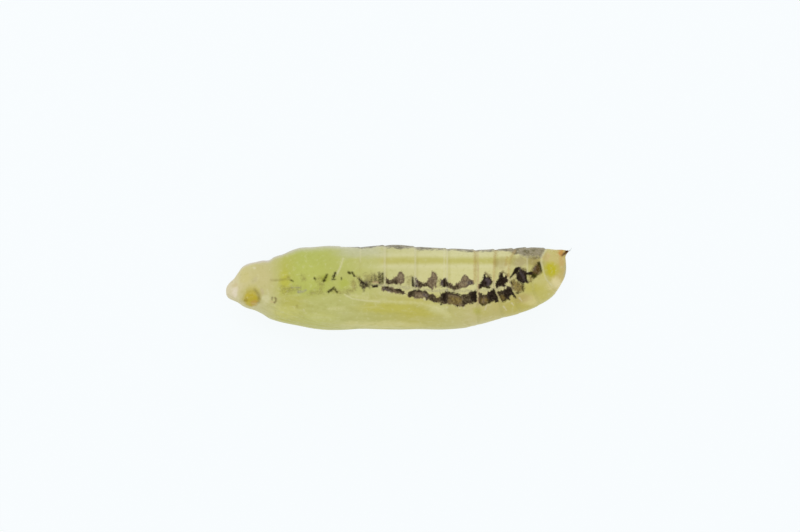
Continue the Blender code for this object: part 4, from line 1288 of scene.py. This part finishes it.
INKS: dict[Tone, MarkInk] = {
    Tone.GLEAM: MarkInk((212, 209, 146), (216, 212, 156), ragged=0.08, soft=0.14, strength=0.55),
    Tone.HAZE: MarkInk((150, 140, 78), (130, 119, 70), ragged=0.20, soft=0.20, strength=0.6),
    Tone.GLOOM: MarkInk((140, 126, 66), (126, 112, 60), ragged=0.03, soft=0.12, strength=0.6),
    Tone.STRIP: MarkInk((190, 186, 138), (176, 170, 130), ragged=0.10, soft=0.06, strength=0.75),
    Tone.MEMBRANE: MarkInk((158, 152, 142), (134, 126, 126), ragged=0.05, soft=0.08, strength=0.6),
    Tone.SABLE: MarkInk((26, 17, 8), (54, 43, 28), ragged=0.12, soft=0.05, specks=0.2),
    Tone.TAUPE: MarkInk((92, 77, 58), (128, 112, 85), ragged=0.12, soft=0.05, specks=0.45),
    Tone.BROWN: MarkInk((94, 76, 40), (74, 54, 16), ragged=0.08, soft=0.12, specks=0.25),
    Tone.FAWN: MarkInk((138, 122, 94), (104, 89, 70), ragged=0.13, soft=0.06, specks=0.4),
    Tone.KHAKI: MarkInk((134, 116, 58), (98, 82, 42), ragged=0.15, soft=0.12, strength=0.92, specks=0.25),
    Tone.UMBER: MarkInk((76, 66, 44), (52, 42, 26), ragged=0.12, soft=0.06, specks=0.25),
    Tone.PLUM: MarkInk((98, 88, 86), (68, 58, 58), ragged=0.11, soft=0.07, specks=0.45),
    Tone.PURPLE: MarkInk((16, 8, 4), (42, 31, 27), ragged=0.10, soft=0.07, specks=0.10),
    Tone.SMUDGE: MarkInk((94, 87, 62), (62, 54, 38), ragged=0.10, soft=0.12, strength=0.95, specks=0.3),
    Tone.OLIVE: MarkInk((62, 62, 6), (44, 42, 2), ragged=0.04, soft=0.07),
    Tone.INK: MarkInk((14, 8, 4), (34, 24, 15), ragged=0.04, soft=0.05),
    Tone.LILAC: MarkInk((118, 106, 112), (98, 86, 92), ragged=0.05, soft=0.09, strength=0.4),
    Tone.FOLD: MarkInk((172, 155, 130), (156, 139, 112), ragged=0.03, soft=0.04, strength=0.5),
    Tone.BLUSH: MarkInk((208, 178, 130), (200, 166, 122), ragged=0.03, soft=0.09, strength=0.5),
    Tone.PALE_LINE_AND_HIGHLIGHT: MarkInk((226, 221, 182), (214, 209, 168), ragged=0.02, soft=0.06, strength=0.52),
    Tone.BROWN_LINE: MarkInk((186, 158, 86), (172, 141, 74), ragged=0.05, soft=0.10, strength=0.55),
    Tone.RUST: MarkInk((84, 34, 8), (54, 16, 4), ragged=0.03, soft=0.08),
    Tone.SPIRACLE_AND_GLINT: MarkInk((224, 216, 184), (210, 202, 162), ragged=0.05, soft=0.055, strength=0.75),
}
SPECK_COLOUR: Colour = (158, 147, 118)

# Colours along the body, as (x, colour): the flank above the wings, the cases and belly below, and the back,
# whose paler, greyer colours are painted rim light.
FLANK: tuple[tuple[float, Colour], ...] = (
    (0.0, (220, 210, 179)), (0.7, (212, 202, 153)), (1.6, (203, 196, 135)), (2.4, (200, 193, 133)),
    (2.9, (194, 191, 121)), (3.4, (186, 186, 93)), (4.4, (182, 189, 97)), (5.6, (182, 188, 97)),
    (6.8, (186, 190, 107)), (8.0, (190, 191, 115)), (9.3, (200, 198, 135)), (10.8, (205, 201, 143)),
    (12.6, (210, 206, 145)), (14.6, (212, 208, 149)), (16.4, (210, 204, 145)), (17.6, (200, 195, 125)),
    (18.8, (200, 192, 119)), (20.0, (200, 178, 107)),
)
UNDER: tuple[tuple[float, Colour], ...] = (
    (0.0, (218, 208, 177)), (0.9, (208, 200, 152)), (1.8, (203, 198, 148)), (2.7, (198, 195, 132)),
    (3.4, (190, 188, 106)), (5.0, (190, 190, 114)), (7.0, (192, 192, 122)), (9.0, (189, 186, 110)),
    (11.0, (192, 185, 102)), (13.0, (195, 190, 120)), (14.6, (200, 191, 130)), (16.4, (191, 181, 105)),
    (18.0, (190, 181, 94)), (19.2, (200, 193, 118)), (20.0, (206, 198, 144)),
)
BACK_WITH_RIM_LIGHT: tuple[tuple[float, Colour], ...] = (
    (0.0, (222, 213, 199)), (1.2, (221, 212, 209)), (2.8, (209, 202, 197)), (4.4, (204, 199, 183)),
    (8.0, (201, 198, 173)), (12.0, (206, 202, 157)), (16.5, (204, 197, 153)), (19.0, (202, 190, 131)),
    (20.0, (196, 168, 109)),
)

# The lower edge of the grey bands along the back, as (x, girth); above 1 there is none.
CREST: tuple[Point, ...] = (
    (5.4, 1.60), (6.2, 1.20), (7.0, 0.96), (7.8, 0.86), (8.6, 0.84), (9.3, 0.82), (9.5, 0.78),
    (10.2, 0.72), (10.6, 0.76), (11.0, 0.81), (11.3, 0.76), (11.8, 0.77), (12.2, 0.82), (13.4, 0.82),
    (13.8, 0.78), (14.4, 0.76), (14.7, 0.84), (15.0, 0.81), (15.5, 0.77), (15.8, 0.84), (16.2, 0.76),
    (16.7, 0.67), (17.1, 0.58), (17.3, 0.48), (17.7, 0.44), (18.0, 0.45), (18.4, 0.41), (18.6, 0.55),
    (18.8, 1.10),
)


@dataclass(frozen=True)
class WaxyCuticle:
    """The pupa's skin: soft wax, faintly mottled, with ragged dark bands and grey ones along the back."""

    body_length: float = 20.3
    under_fade: Fade = Fade(0.05, -0.85, wander=0.5)
    # painted rim light: paler and greyer towards the back's middle line, the upper outline
    back_rim_light_fade: Fade = Fade(0.62, 0.96, 0.9, wander=0.15)
    # painted rim light: paler towards the belly's middle line, the lower outline
    belly_rim_light: Colour = (206, 203, 150)
    belly_rim_light_fade: Fade = Fade(-0.66, -0.98, 0.45, wander=0.1)
    stripe_height: float = 1.61
    stripe_rises: Point = (7.2, 9.6)
    stripe_ends: Point = (18.0, 17.0)
    stripe_wander: float = 0.12
    stripe_colour: Colour = (191, 186, 102)
    stripe_fade: Fade = Fade(0.34, 0.04, 0.9)
    beside_stripe: Colour = (218, 214, 164)
    beside_fade: Fade = Fade(0.62, 0.28, 0.55)
    zone_wander: float = 0.45
    zone_fade: Point = (0.2, 2.0)
    mottle_light: Colour = (222, 220, 176)
    mottle_dark: Colour = (164, 160, 76)
    wing_top: Fade = Fade(0.1, -0.1)
    wing_end: Fade = Fade(14.6, 13.8, 0.18)
    dark_streaks: Fade = Fade(0.50, 0.72)
    light_streaks: Fade = Fade(0.46, 0.28)
    light_grain: Fade = Fade(0.54, 0.76, 0.25)
    dark_grain: Fade = Fade(0.45, 0.27, 0.20)
    # painted shade: the skin darker where its relief sinks into grooves and pits
    groove_shade: Colour = (172, 166, 92)
    groove_shade_fade: Fade = Fade(-0.005, -0.03, 0.25)
    crest_light: Colour = (136, 126, 110)
    crest_dark: Colour = (80, 70, 56)
    crest_dark_fade: Fade = Fade(0.44, 0.62)
    crest_lilac: Colour = (148, 138, 146)
    crest_lilac_fade: Fade = Fade(0.55, 0.68, 0.7)
    crest_gaps: Fade = Fade(0.60, 0.72, 0.35)
    crest_fade: Fade = Fade(-0.20, 0.20, 0.82, wander=0.8)
    blotch_fade: Fade = Fade(-0.06, 0.10)
    speck_fade: Fade = Fade(0.51, 0.66)
    fine_rag: float = 0.8
    wrinkle_height: float = 0.012
    pore_height: float = 0.004
    bump_strength: float = 0.6
    roughness: float = 0.42
    roughness_span: float = 0.2
    coat: float = 0.02
    coat_roughness: float = 0.3
    specular: float = 0.13
    gloss_tint: Colour = (255, 226, 186)

    def along_body(self, desk: Desk, x: Wire, stops: tuple[tuple[float, Colour], ...]) -> Wire:
        """A row of colours along the body."""
        shares = [(place / self.body_length, colour) for place, colour in stops]
        return desk.ramp(x * (1 / self.body_length), shares)

    def ground(self, desk: Desk, skin: Wire, seen: Wire, girth: Wire) -> Wire:
        """The skin's colour without its marks, with painted rim light towards the back and the belly.

        Args:
            desk: the material's desk.
            skin: place on the skin.
            seen: the same place as the photograph sees it.
            girth: girth of the place.

        Returns:
            The colour.
        """
        x, y = desk.split(seen)
        slow = desk.noise(skin, 0.9, 3.0) - 0.5
        flank = self.along_body(desk, x + slow * 0.6, FLANK)
        under = self.along_body(desk, x + slow * 0.9, UNDER)
        colour = desk.paint(flank, under, self.under_fade.mask(y, slow))
        # painted rim light: paler towards the back's middle line
        colour = desk.paint(colour, self.along_body(desk, x, BACK_WITH_RIM_LIGHT), self.back_rim_light_fade.mask(girth, slow))
        # painted rim light: paler towards the belly's middle line
        colour = desk.paint(colour, linear(self.belly_rim_light), self.belly_rim_light_fade.mask(girth, slow))
        drawn = x.smooth(*self.stripe_rises) * x.smooth(*self.stripe_ends)
        beside = abs(y - self.stripe_height + slow * self.stripe_wander)
        colour = desk.paint(colour, linear(self.beside_stripe), self.beside_fade.mask(beside) * drawn)
        return desk.paint(colour, linear(self.stripe_colour), self.stripe_fade.mask(beside) * drawn)

    def zones(self, desk: Desk, colour: Wire, skin: Wire, seen: Wire, photo: Photograph) -> Wire:
        """Lays the soft ovals over the ground colour.

        Args:
            desk: the material's desk.
            colour: the colour so far.
            skin: place on the skin.
            seen: the same place as the photograph sees it.
            photo: the photograph's scale.

        Returns:
            The colour with the ovals.
        """
        reach = self.zone_wander
        shift = desk.vector("MULTIPLY", desk.noise(skin, 2.2, 3.0, output="Color"), (reach, reach, 0.0))
        place = desk.vector("SUBTRACT", desk.vector("ADD", seen, shift), (reach / 2, reach / 2, 0.0))
        outward, inward = self.zone_fade
        for zone in ZONES:
            centre = photo.to_mm(zone.centre)
            scale = 1 / (np.array(zone.reach) * photo.mm_per_px)
            offset = desk.vector("SUBTRACT", place, (float(centre[0]), float(centre[1]), 0.0))
            away = desk.length(desk.vector("MULTIPLY", offset, (float(scale[0]), float(scale[1]), 0.0)))
            fade = Fade(1 + zone.firmness * outward, 1 - zone.firmness * inward, zone.strength)
            colour = desk.paint(colour, linear(zone.colour), fade.mask(away))
        return colour

    def mottling(self, desk: Desk, colour: Wire, skin: Wire, girth: Wire) -> Wire:
        """Faint streaks along the wings, fine light and dark mottling, and painted shade in the grooves.

        Args:
            desk: the material's desk.
            colour: the colour so far.
            skin: place on the skin.
            girth: girth of the place.

        Returns:
            The colour with the mottling.
        """
        x, _ = desk.split(skin)
        streaks = desk.noise(skin, 2.0, 3.0, (0.5, 1.6, 1.6))
        grain = desk.noise(skin, 4.5, 3.0)
        wings = self.wing_top.mask(girth) * self.wing_end.mask(x)
        layers = (
            (self.mottle_dark, self.dark_streaks.mask(streaks) * wings),
            (self.mottle_light, self.light_streaks.mask(streaks) * wings),
            (self.mottle_light, self.light_grain.mask(grain)),
            (self.mottle_dark, self.dark_grain.mask(grain)),
            # painted shade in the grooves and pits, where the relief sinks
            (self.groove_shade, self.groove_shade_fade.mask(desk.attribute("relief"))),
        )
        for tint, mask in layers:
            colour = desk.paint(colour, linear(tint), mask)
        return colour

    def crest(self, desk: Desk, colour: Wire, skin: Wire, depth: Wire) -> Wire:
        """The mottled grey bands on either side of the back's middle line.

        Args:
            desk: the material's desk.
            colour: the colour so far.
            skin: place on the skin.
            depth: how far inside the bands' edge the place lies.

        Returns:
            The colour with the bands.
        """
        coarse = desk.noise(skin, 3.2, 4.0)
        grain = desk.noise(skin, 9.0, 2.0)
        dark = self.crest_dark_fade.mask(coarse)
        grey = desk.paint(linear(self.crest_light), linear(self.crest_dark), dark)
        grey = desk.paint(grey, linear(self.crest_lilac), self.crest_lilac_fade.mask(grain))
        inside = self.crest_fade.mask(depth, coarse - 0.5)
        return desk.paint(colour, grey, inside * (1 - self.crest_gaps.mask(grain)))

    def marks(self, desk: Desk, colour: Wire, skin: Wire) -> Wire:
        """Lays every tone over the colour, in order.

        Args:
            desk: the material's desk.
            colour: the colour so far.
            skin: place on the skin.

        Returns:
            The colour with the marks.
        """
        coarse = desk.noise(skin, 5.0, 3.0) - 0.5
        fine = desk.noise(skin, 13.0, 2.0) - 0.5
        ragged = coarse + fine * self.fine_rag
        blotchy = self.blotch_fade.mask(fine + coarse)
        specked = self.speck_fade.mask(desk.noise(skin, 10.0, 3.0, (1.5, 0.7, 1.0)))
        for tone in Tone:
            ink = INKS[tone]
            depth = desk.attribute(tone.value) + ragged * (ink.ragged * 2)
            laid = desk.paint(linear(ink.colour), linear(ink.second), blotchy)
            if ink.specks:
                laid = desk.paint(laid, linear(SPECK_COLOUR), specked * ink.specks)
            colour = desk.paint(colour, laid, depth.smooth(-ink.soft, ink.soft) * ink.strength)
        return colour

    def dress(self, piece: bpy.types.Object, photo: Photograph) -> None:
        """Gives the skin its material.

        Args:
            piece: the pupa's skin, whose mesh carries the attributes.
            photo: the photograph's scale.
        """
        desk = Desk("waxy cuticle")
        skin = desk.attribute("skin", "Vector")
        seen = desk.attribute("seen", "Vector")
        girth = desk.attribute("girth")
        colour = self.ground(desk, skin, seen, girth)
        colour = self.zones(desk, colour, skin, seen, photo)
        colour = self.mottling(desk, colour, skin, girth)
        colour = self.crest(desk, colour, skin, desk.attribute("crest"))
        colour = self.marks(desk, colour, skin)
        wrinkles = desk.noise(skin, 6.0, 4.0, (1.6, 1.0, 1.0))
        pores = desk.noise(skin, 26.0, 2.0)
        uneven = desk.noise(skin, 4.0, 3.0) - 0.5
        desk.set(
            Base_Color=colour,
            Normal=desk.bump(wrinkles * self.wrinkle_height + pores * self.pore_height, self.bump_strength),
            Roughness=uneven * self.roughness_span + self.roughness,
            Coat_Weight=self.coat,
            Coat_Roughness=self.coat_roughness,
            Specular_IOR_Level=self.specular,
            Specular_Tint=linear(self.gloss_tint),
        )
        desk.cover(piece)


@dataclass(frozen=True)
class HookFinish:
    """The stiff hooked bristles of the tail: rust at the root and glassy blue-grey towards the tip."""

    root: Colour = (96, 40, 16)
    middle: Colour = (150, 130, 110)
    tip: Colour = (206, 214, 214)
    middle_share: float = 0.30
    tip_share: float = 0.55
    grain_fade: Fade = Fade(0.5, 0.8, 0.3)
    grain_height: float = 0.004
    bump_strength: float = 0.5
    roughness: float = 0.3

    def dress(self, piece: bpy.types.Object) -> None:
        """Gives the bristles their material.

        Args:
            piece: the bristles, whose mesh carries the attributes.
        """
        desk = Desk("hooked bristles")
        places = (0.0, self.middle_share, self.tip_share, 1.0)
        stops = list(zip(places, (self.root, self.middle, self.tip, self.tip)))
        grain = desk.noise(desk.attribute("skin", "Vector"), 30.0, 2.0)
        colour = desk.ramp(desk.attribute("share"), stops)
        colour = desk.paint(colour, linear(self.middle), self.grain_fade.mask(grain))
        normal = desk.bump(grain * self.grain_height, self.bump_strength)
        desk.set(Base_Color=colour, Normal=normal, Roughness=self.roughness)
        desk.cover(piece)


@dataclass(frozen=True)
class TableFinish:
    """The pale bluish white on which the pupa is pictured; it glows a little, so that shadows stay faint."""

    glow: Colour = (249, 253, 255)
    glow_strength: float = 0.90
    albedo: float = 0.10
    cloud: float = 0.98

    def dress(self, piece: bpy.types.Object) -> None:
        """Gives the table its material.

        Args:
            piece: the table.
        """
        desk = Desk("pale table")
        tint = linear(self.glow)
        shares = (self.albedo, self.albedo * self.cloud)
        dull, cloudy = ((*(part * share for part in tint[:3]), 1.0) for share in shares)
        clouds = desk.noise(desk.node("ShaderNodeTexCoord", output="Object"), 40.0, 2.0)
        desk.set(
            Base_Color=desk.paint(dull, cloudy, clouds),
            Roughness=1.0,
            Specular_IOR_Level=0.0,
            Emission_Color=tint,
            Emission_Strength=self.glow_strength,
        )
        desk.cover(piece)


def mesh_object(name: str, points: np.ndarray, faces: list[tuple[int, ...]]) -> bpy.types.Object:
    """Makes a smooth-shaded mesh and links it to the scene.

    Args:
        name: the piece's name.
        points: corners in metres.
        faces: corner numbers of each face.

    Returns:
        The new object.
    """
    mesh = bpy.data.meshes.new(name)
    mesh.from_pydata(points.tolist(), [], faces)
    mesh.shade_smooth()
    piece = bpy.data.objects.new(name, mesh)
    bpy.context.scene.collection.objects.link(piece)
    return piece


def give_attribute(piece: bpy.types.Object, name: str, values: np.ndarray) -> None:
    """Stores a number or a vector for every corner of a mesh.

    Args:
        piece: the object.
        name: the attribute's name.
        values: one number or one row of three for each corner.
    """
    is_vector = values.ndim == 2
    kind, key = ("FLOAT_VECTOR", "vector") if is_vector else ("FLOAT", "value")
    made = piece.data.attributes.new(name, kind, "POINT")
    made.data.foreach_set(key, values.astype(np.float32).ravel())


@dataclass(frozen=True)
class Placement:
    """Where the design lies in the frame: centred on the CAD node's box and level with its top."""

    shift: np.ndarray
    ground: float

    @classmethod
    def of(cls, skin: np.ndarray, node: str) -> "Placement":
        """Fits the skin to the node's box.

        Args:
            skin: points of the skin's left side, in design millimetres.
            node: the CAD node's name.

        Returns:
            The placement.
        """
        low, high = (np.array(corner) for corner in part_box(node))
        ends = [(*rib.back, 0.0) for rib in (RIBS[0], RIBS[-1])]
        reach = np.vstack([skin.reshape(-1, 3), ends]) * MM
        shift = (low + high) / 2 - (reach.min(axis=0) + reach.max(axis=0)) / 2
        shift[2] = high[2] - reach[:, 2].max()
        return cls(shift, low[2])

    def place(self, points: np.ndarray) -> np.ndarray:
        """Design millimetres to metres of the frame; what would lie under the ground is raised to it."""
        placed = points * MM + self.shift
        placed[..., 2] = np.maximum(placed[..., 2], self.ground)
        return placed


@dataclass
class PupaCase:
    """The whole skin of the pupa as one mesh of fine rings, which stands for the CAD node."""

    form: CaseForm
    photo: Photograph
    finish: WaxyCuticle
    node: str = "pupa"
    rings_head: int = 30
    rings_middle: int = 330
    rings_tail: int = 44
    lines_a_side: int = 118
    crowd_the_side: float = 0.07
    head_length: float = 1.0
    tail_length: float = 1.9
    first_ring: float = 0.02
    past_spike: float = 0.05
    mm_per_girth: float = 3.0
    sheet_margin: float = 0.02

    def __post_init__(self) -> None:
        """Works out the left half of the skin and where it lies in the frame."""
        along, self.girth = self.grid()
        self.left, self.relief = self.form.surface(along, self.girth, self.photo)
        self.placement = Placement.of(self.left, self.node)

    @property
    def spike_end(self) -> float:
        """Where along the body the skin ends and only bristles go on."""
        return self.form.places[-3] + self.past_spike

    def grid(self) -> tuple[np.ndarray, np.ndarray]:
        """Where the rings' points lie; the lines along the body crowd towards the side.

        Returns:
            Places along the body and girths, one row for each ring.
        """
        end = self.spike_end
        rings = np.concatenate([
            np.linspace(self.first_ring, self.head_length, self.rings_head, endpoint=False),
            np.linspace(self.head_length, end - self.tail_length, self.rings_middle, endpoint=False),
            np.linspace(end - self.tail_length, end, self.rings_tail),
        ])
        even = np.linspace(-1.0, 1.0, self.lines_a_side + 1)
        girth = even - self.crowd_the_side * np.sin(math.pi * even)
        return np.repeat(rings[:, None], len(girth), axis=1), np.repeat(girth[None], len(rings), axis=0)

    @staticmethod
    def both_sides(values: np.ndarray, mirrored: np.ndarray) -> np.ndarray:
        """Rows of the left half-rings, followed by the right half's without the two middle lines."""
        return np.concatenate([values, mirrored[:, -2:0:-1]], axis=1)

    def build(self) -> bpy.types.Object:
        """Makes the mesh with its map and attributes, and dresses it.

        Returns:
            The skin.
        """
        around = self.both_sides(self.left, self.left * (1, 1, -1))
        rings, count = around.shape[:2]
        tips = np.array([(*RIBS[0].back, 0.0), (*around[-1].mean(axis=0)[:2], 0.0)])
        tips[1, 0] += self.past_spike / 2
        skin = np.concatenate([around.reshape(-1, 3), tips])
        number = np.arange(rings * count).reshape(rings, count)
        beside = np.roll(number, -1, axis=1)
        quads = np.stack([number[1:], beside[1:], beside[:-1], number[:-1]], axis=-1).reshape(-1, 4)
        faces = [tuple(face) for face in quads.tolist()]
        head, tail = rings * count, rings * count + 1
        faces += [(head, n, m) for n, m in zip(number[0].tolist(), beside[0].tolist())]
        faces += [(tail, m, n) for n, m in zip(number[-1].tolist(), beside[-1].tolist())]
        piece = mesh_object("pupa_skin", self.placement.place(skin), faces)
        self.map_skin(piece, rings, count)
        self.note_attributes(piece, skin)
        self.finish.dress(piece, self.photo)
        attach(piece, "root")
        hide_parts(self.node)
        return piece

    def note_attributes(self, piece: bpy.types.Object, skin: np.ndarray) -> None:
        """Stores what the material reads for every corner of the skin.

        Args:
            piece: the skin.
            skin: its corners in design millimetres, the two tips last.
        """
        seen = self.photo.seen(skin)
        whole = {}
        for name, values in {"girth": self.girth, "relief": self.relief}.items():
            whole[name] = np.append(self.both_sides(values, values).ravel(), (0.0, 0.0))
        crest = (whole["girth"] - line_through(CREST, skin[:, 0])) * self.mm_per_girth
        vectors = {"skin": skin, "seen": np.column_stack([seen, np.zeros(len(seen))])}
        for name, values in {**vectors, **whole, "crest": crest}.items():
            give_attribute(piece, name, values)
        tracer = MarkTracer(self.photo)
        for tone in Tone:
            give_attribute(piece, tone.value, tracer.depth(tone, seen))

    def map_skin(self, piece: bpy.types.Object, rings: int, count: int) -> None:
        """Unrolls the skin into one sheet: along the body across, and around it up.

        Args:
            piece: the skin.
            rings: number of rings.
            count: number of corners in a ring.
        """
        across = np.linspace(self.sheet_margin, 1 - self.sheet_margin, rings)
        up = np.linspace(0.0, 1.0, count + 1)
        middle = (up[:-1] + up[1:]) / 2
        ring = np.arange(rings - 1)[:, None]
        line = np.arange(count)[None]
        corners = [(ring + 1, line), (ring + 1, line + 1), (ring, line + 1), (ring, line)]
        quads = np.stack([
            np.stack(np.broadcast_arrays(across[a], up[b]), axis=-1) for a, b in corners
        ], axis=2)
        ends = [
            ((0.0, middle), (across[0], up[:-1]), (across[0], up[1:])),
            ((1.0, middle), (across[-1], up[1:]), (across[-1], up[:-1])),
        ]
        fans = [np.stack([np.column_stack([np.full(count, u), v]) for u, v in end], axis=1) for end in ends]
        layer = piece.data.uv_layers.new(name="OFBake")
        sheet = np.concatenate([part.reshape(-1, 2) for part in (quads, *fans)])
        layer.data.foreach_set("uv", sheet.astype(np.float32).ravel())


@dataclass
class TailHooks:
    """The hooked bristles of the cremaster, which grow from the tip of its spike."""

    case: PupaCase
    finish: HookFinish
    count: int = 8
    sides: int = 7
    steps: int = 14
    thickness: float = 0.022
    taper: float = 0.65
    root: Place = (19.99, 2.16, 0.0)
    tip: Place = (20.285, 2.37, 0.0)
    share_of_longest: float = 0.62
    share_varies: float = 0.08
    spread: float = 0.07
    droop: float = 0.05
    sag: Place = (0.03, -0.05, 0.0)
    hook_starts: float = 0.72
    hook_turn: float = 3.6
    hook_radius: float = 0.022

    def route(self, n: int) -> np.ndarray:
        """The middle line of one bristle: out towards the tip, fanned to the sides, and rolled up at its end.

        Args:
            n: the bristle's number.

        Returns:
            The line's points; the longest bristle, in the middle, runs straight to the tip.
        """
        share = np.linspace(0.0, 1.0, self.steps)[:, None]
        root, end = np.array(self.root), np.array(self.tip)
        longest = n == self.count // 2
        if not longest:
            fan = -1 + 2 * n / (self.count - 1)
            length = self.share_of_longest + self.share_varies * math.cos(2.4 * n)
            end = root + (end - root) * length + np.array([0.0, -self.droop * abs(fan), self.spread * fan])
        line = root + (end - root) * share + np.array(self.sag) * (share * (1 - share) * 4)
        turn = blend(self.hook_starts, 1.0, share) * self.hook_turn
        curl = np.concatenate([np.sin(turn), np.cos(turn) - 1, np.zeros_like(turn)], axis=1)
        return line if longest else line + curl * self.hook_radius

    def build(self) -> bpy.types.Object:
        """Makes all the bristles as one mesh and dresses it.

        Returns:
            The bristles.
        """
        points, faces = [], []
        share = np.linspace(0.0, 1.0, self.steps)
        radius = self.thickness * (1 - self.taper * share)
        turns = np.linspace(0.0, 2 * math.pi, self.sides, endpoint=False)[None, :, None]
        for n in range(self.count):
            line = self.route(n)
            ahead = np.gradient(line, axis=0)
            ahead /= np.linalg.norm(ahead, axis=1, keepdims=True)
            side = np.cross(ahead, (0.0, 0.0, 1.0))
            side /= np.linalg.norm(side, axis=1, keepdims=True)
            ring = side[:, None] * np.cos(turns) + np.cross(side, ahead)[:, None] * np.sin(turns)
            points.append((line[:, None] + ring * radius[:, None, None]).reshape(-1, 3))
            start = n * self.steps * self.sides
            for step in range(start, start + (self.steps - 1) * self.sides, self.sides):
                for k in range(self.sides):
                    a, b = step + k, step + (k + 1) % self.sides
                    faces.append((a, b, b + self.sides, a + self.sides))
            first = [start + k for k in range(self.sides)]
            faces += [tuple(first[::-1]), tuple(k + (self.steps - 1) * self.sides for k in first)]
        skin = np.concatenate(points)
        piece = mesh_object("cremaster_bristles", self.case.placement.place(skin), faces)
        give_attribute(piece, "skin", skin)
        give_attribute(piece, "share", np.tile(np.repeat(share, self.sides), self.count))
        self.finish.dress(piece)
        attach(piece, "root")
        return piece


@dataclass(frozen=True)
class Studio:
    """The pale table, the soft lights around it and the camera above."""

    photo: Photograph
    finish: TableFinish
    placement: Placement
    table_radius: float = 0.6
    table_drop: float = 0.00001
    table_sides: int = 96
    sky_strength: float = 0.80
    lamp_size: float = 0.10
    key_watts: float = 0.055
    key_place: Place = (-0.06, 0.09, 0.16)
    fill_watts: float = 0.02
    fill_place: Place = (0.09, -0.07, 0.15)
    clip: Point = (0.001, 10.0)

    def build(self) -> None:
        """Makes the table, the sky, the lights and the camera."""
        self.lay_table()
        self.light_sky()
        self.hang_light("soft key", self.key_watts, self.key_place)
        self.hang_light("soft fill", self.fill_watts, self.fill_place)
        self.set_camera()

    def lay_table(self) -> None:
        """A round table just below the part."""
        turns = np.linspace(0.0, 2 * math.pi, self.table_sides, endpoint=False)
        rim = np.column_stack([np.cos(turns), np.sin(turns), np.zeros_like(turns)]) * self.table_radius
        table = mesh_object("pale_table", rim - (0.0, 0.0, self.table_drop), [tuple(range(len(turns)))])
        self.finish.dress(table)

    def light_sky(self) -> None:
        """An even white sky."""
        world = bpy.data.worlds.new("even sky")
        world.use_nodes = True
        sky = world.node_tree.nodes["Background"]
        sky.inputs["Color"].default_value = (1.0, 1.0, 1.0, 1.0)
        sky.inputs["Strength"].default_value = self.sky_strength
        bpy.context.scene.world = world

    def hang_light(self, name: str, watts: float, place: Place) -> None:
        """A square soft light aimed at the pupa.

        Args:
            name: the light's name.
            watts: its power.
            place: where it hangs, in metres.
        """
        lamp = bpy.data.lights.new(name, "AREA")
        lamp.energy = watts
        lamp.size = self.lamp_size
        light = bpy.data.objects.new(name, lamp)
        light.location = place
        light.rotation_euler = (-light.location).to_track_quat("-Z", "Y").to_euler()
        bpy.context.scene.collection.objects.link(light)

    def set_camera(self) -> None:
        """The camera looks straight down, as the photograph does."""
        lens = bpy.data.cameras.new("photo camera")
        lens.lens = self.photo.lens_mm
        lens.sensor_width = self.photo.sensor_mm
        lens.clip_start, lens.clip_end = self.clip
        camera = bpy.data.objects.new("photo camera", lens)
        camera.location = self.placement.place(np.array([*self.photo.centre, self.photo.distance]))
        bpy.context.scene.collection.objects.link(camera)
        bpy.context.scene.camera = camera
        bpy.context.scene.view_settings.view_transform = "Standard"


def main() -> None:
    """Builds the pieces in order and reports each of them."""
    logging.basicConfig(level=logging.INFO, format="%(name)s: %(message)s")
    photo = Photograph()
    case = PupaCase(CaseForm(), photo, WaxyCuticle())
    hooks = TailHooks(case, HookFinish())
    for maker in (case, hooks):
        piece = maker.build()
        LOG.info("%s: %d faces", piece.name, len(piece.data.polygons))
    Studio(photo, TableFinish(), case.placement).build()
    LOG.info("table, lights and camera are in place")


if __name__ == "__main__":
    main()
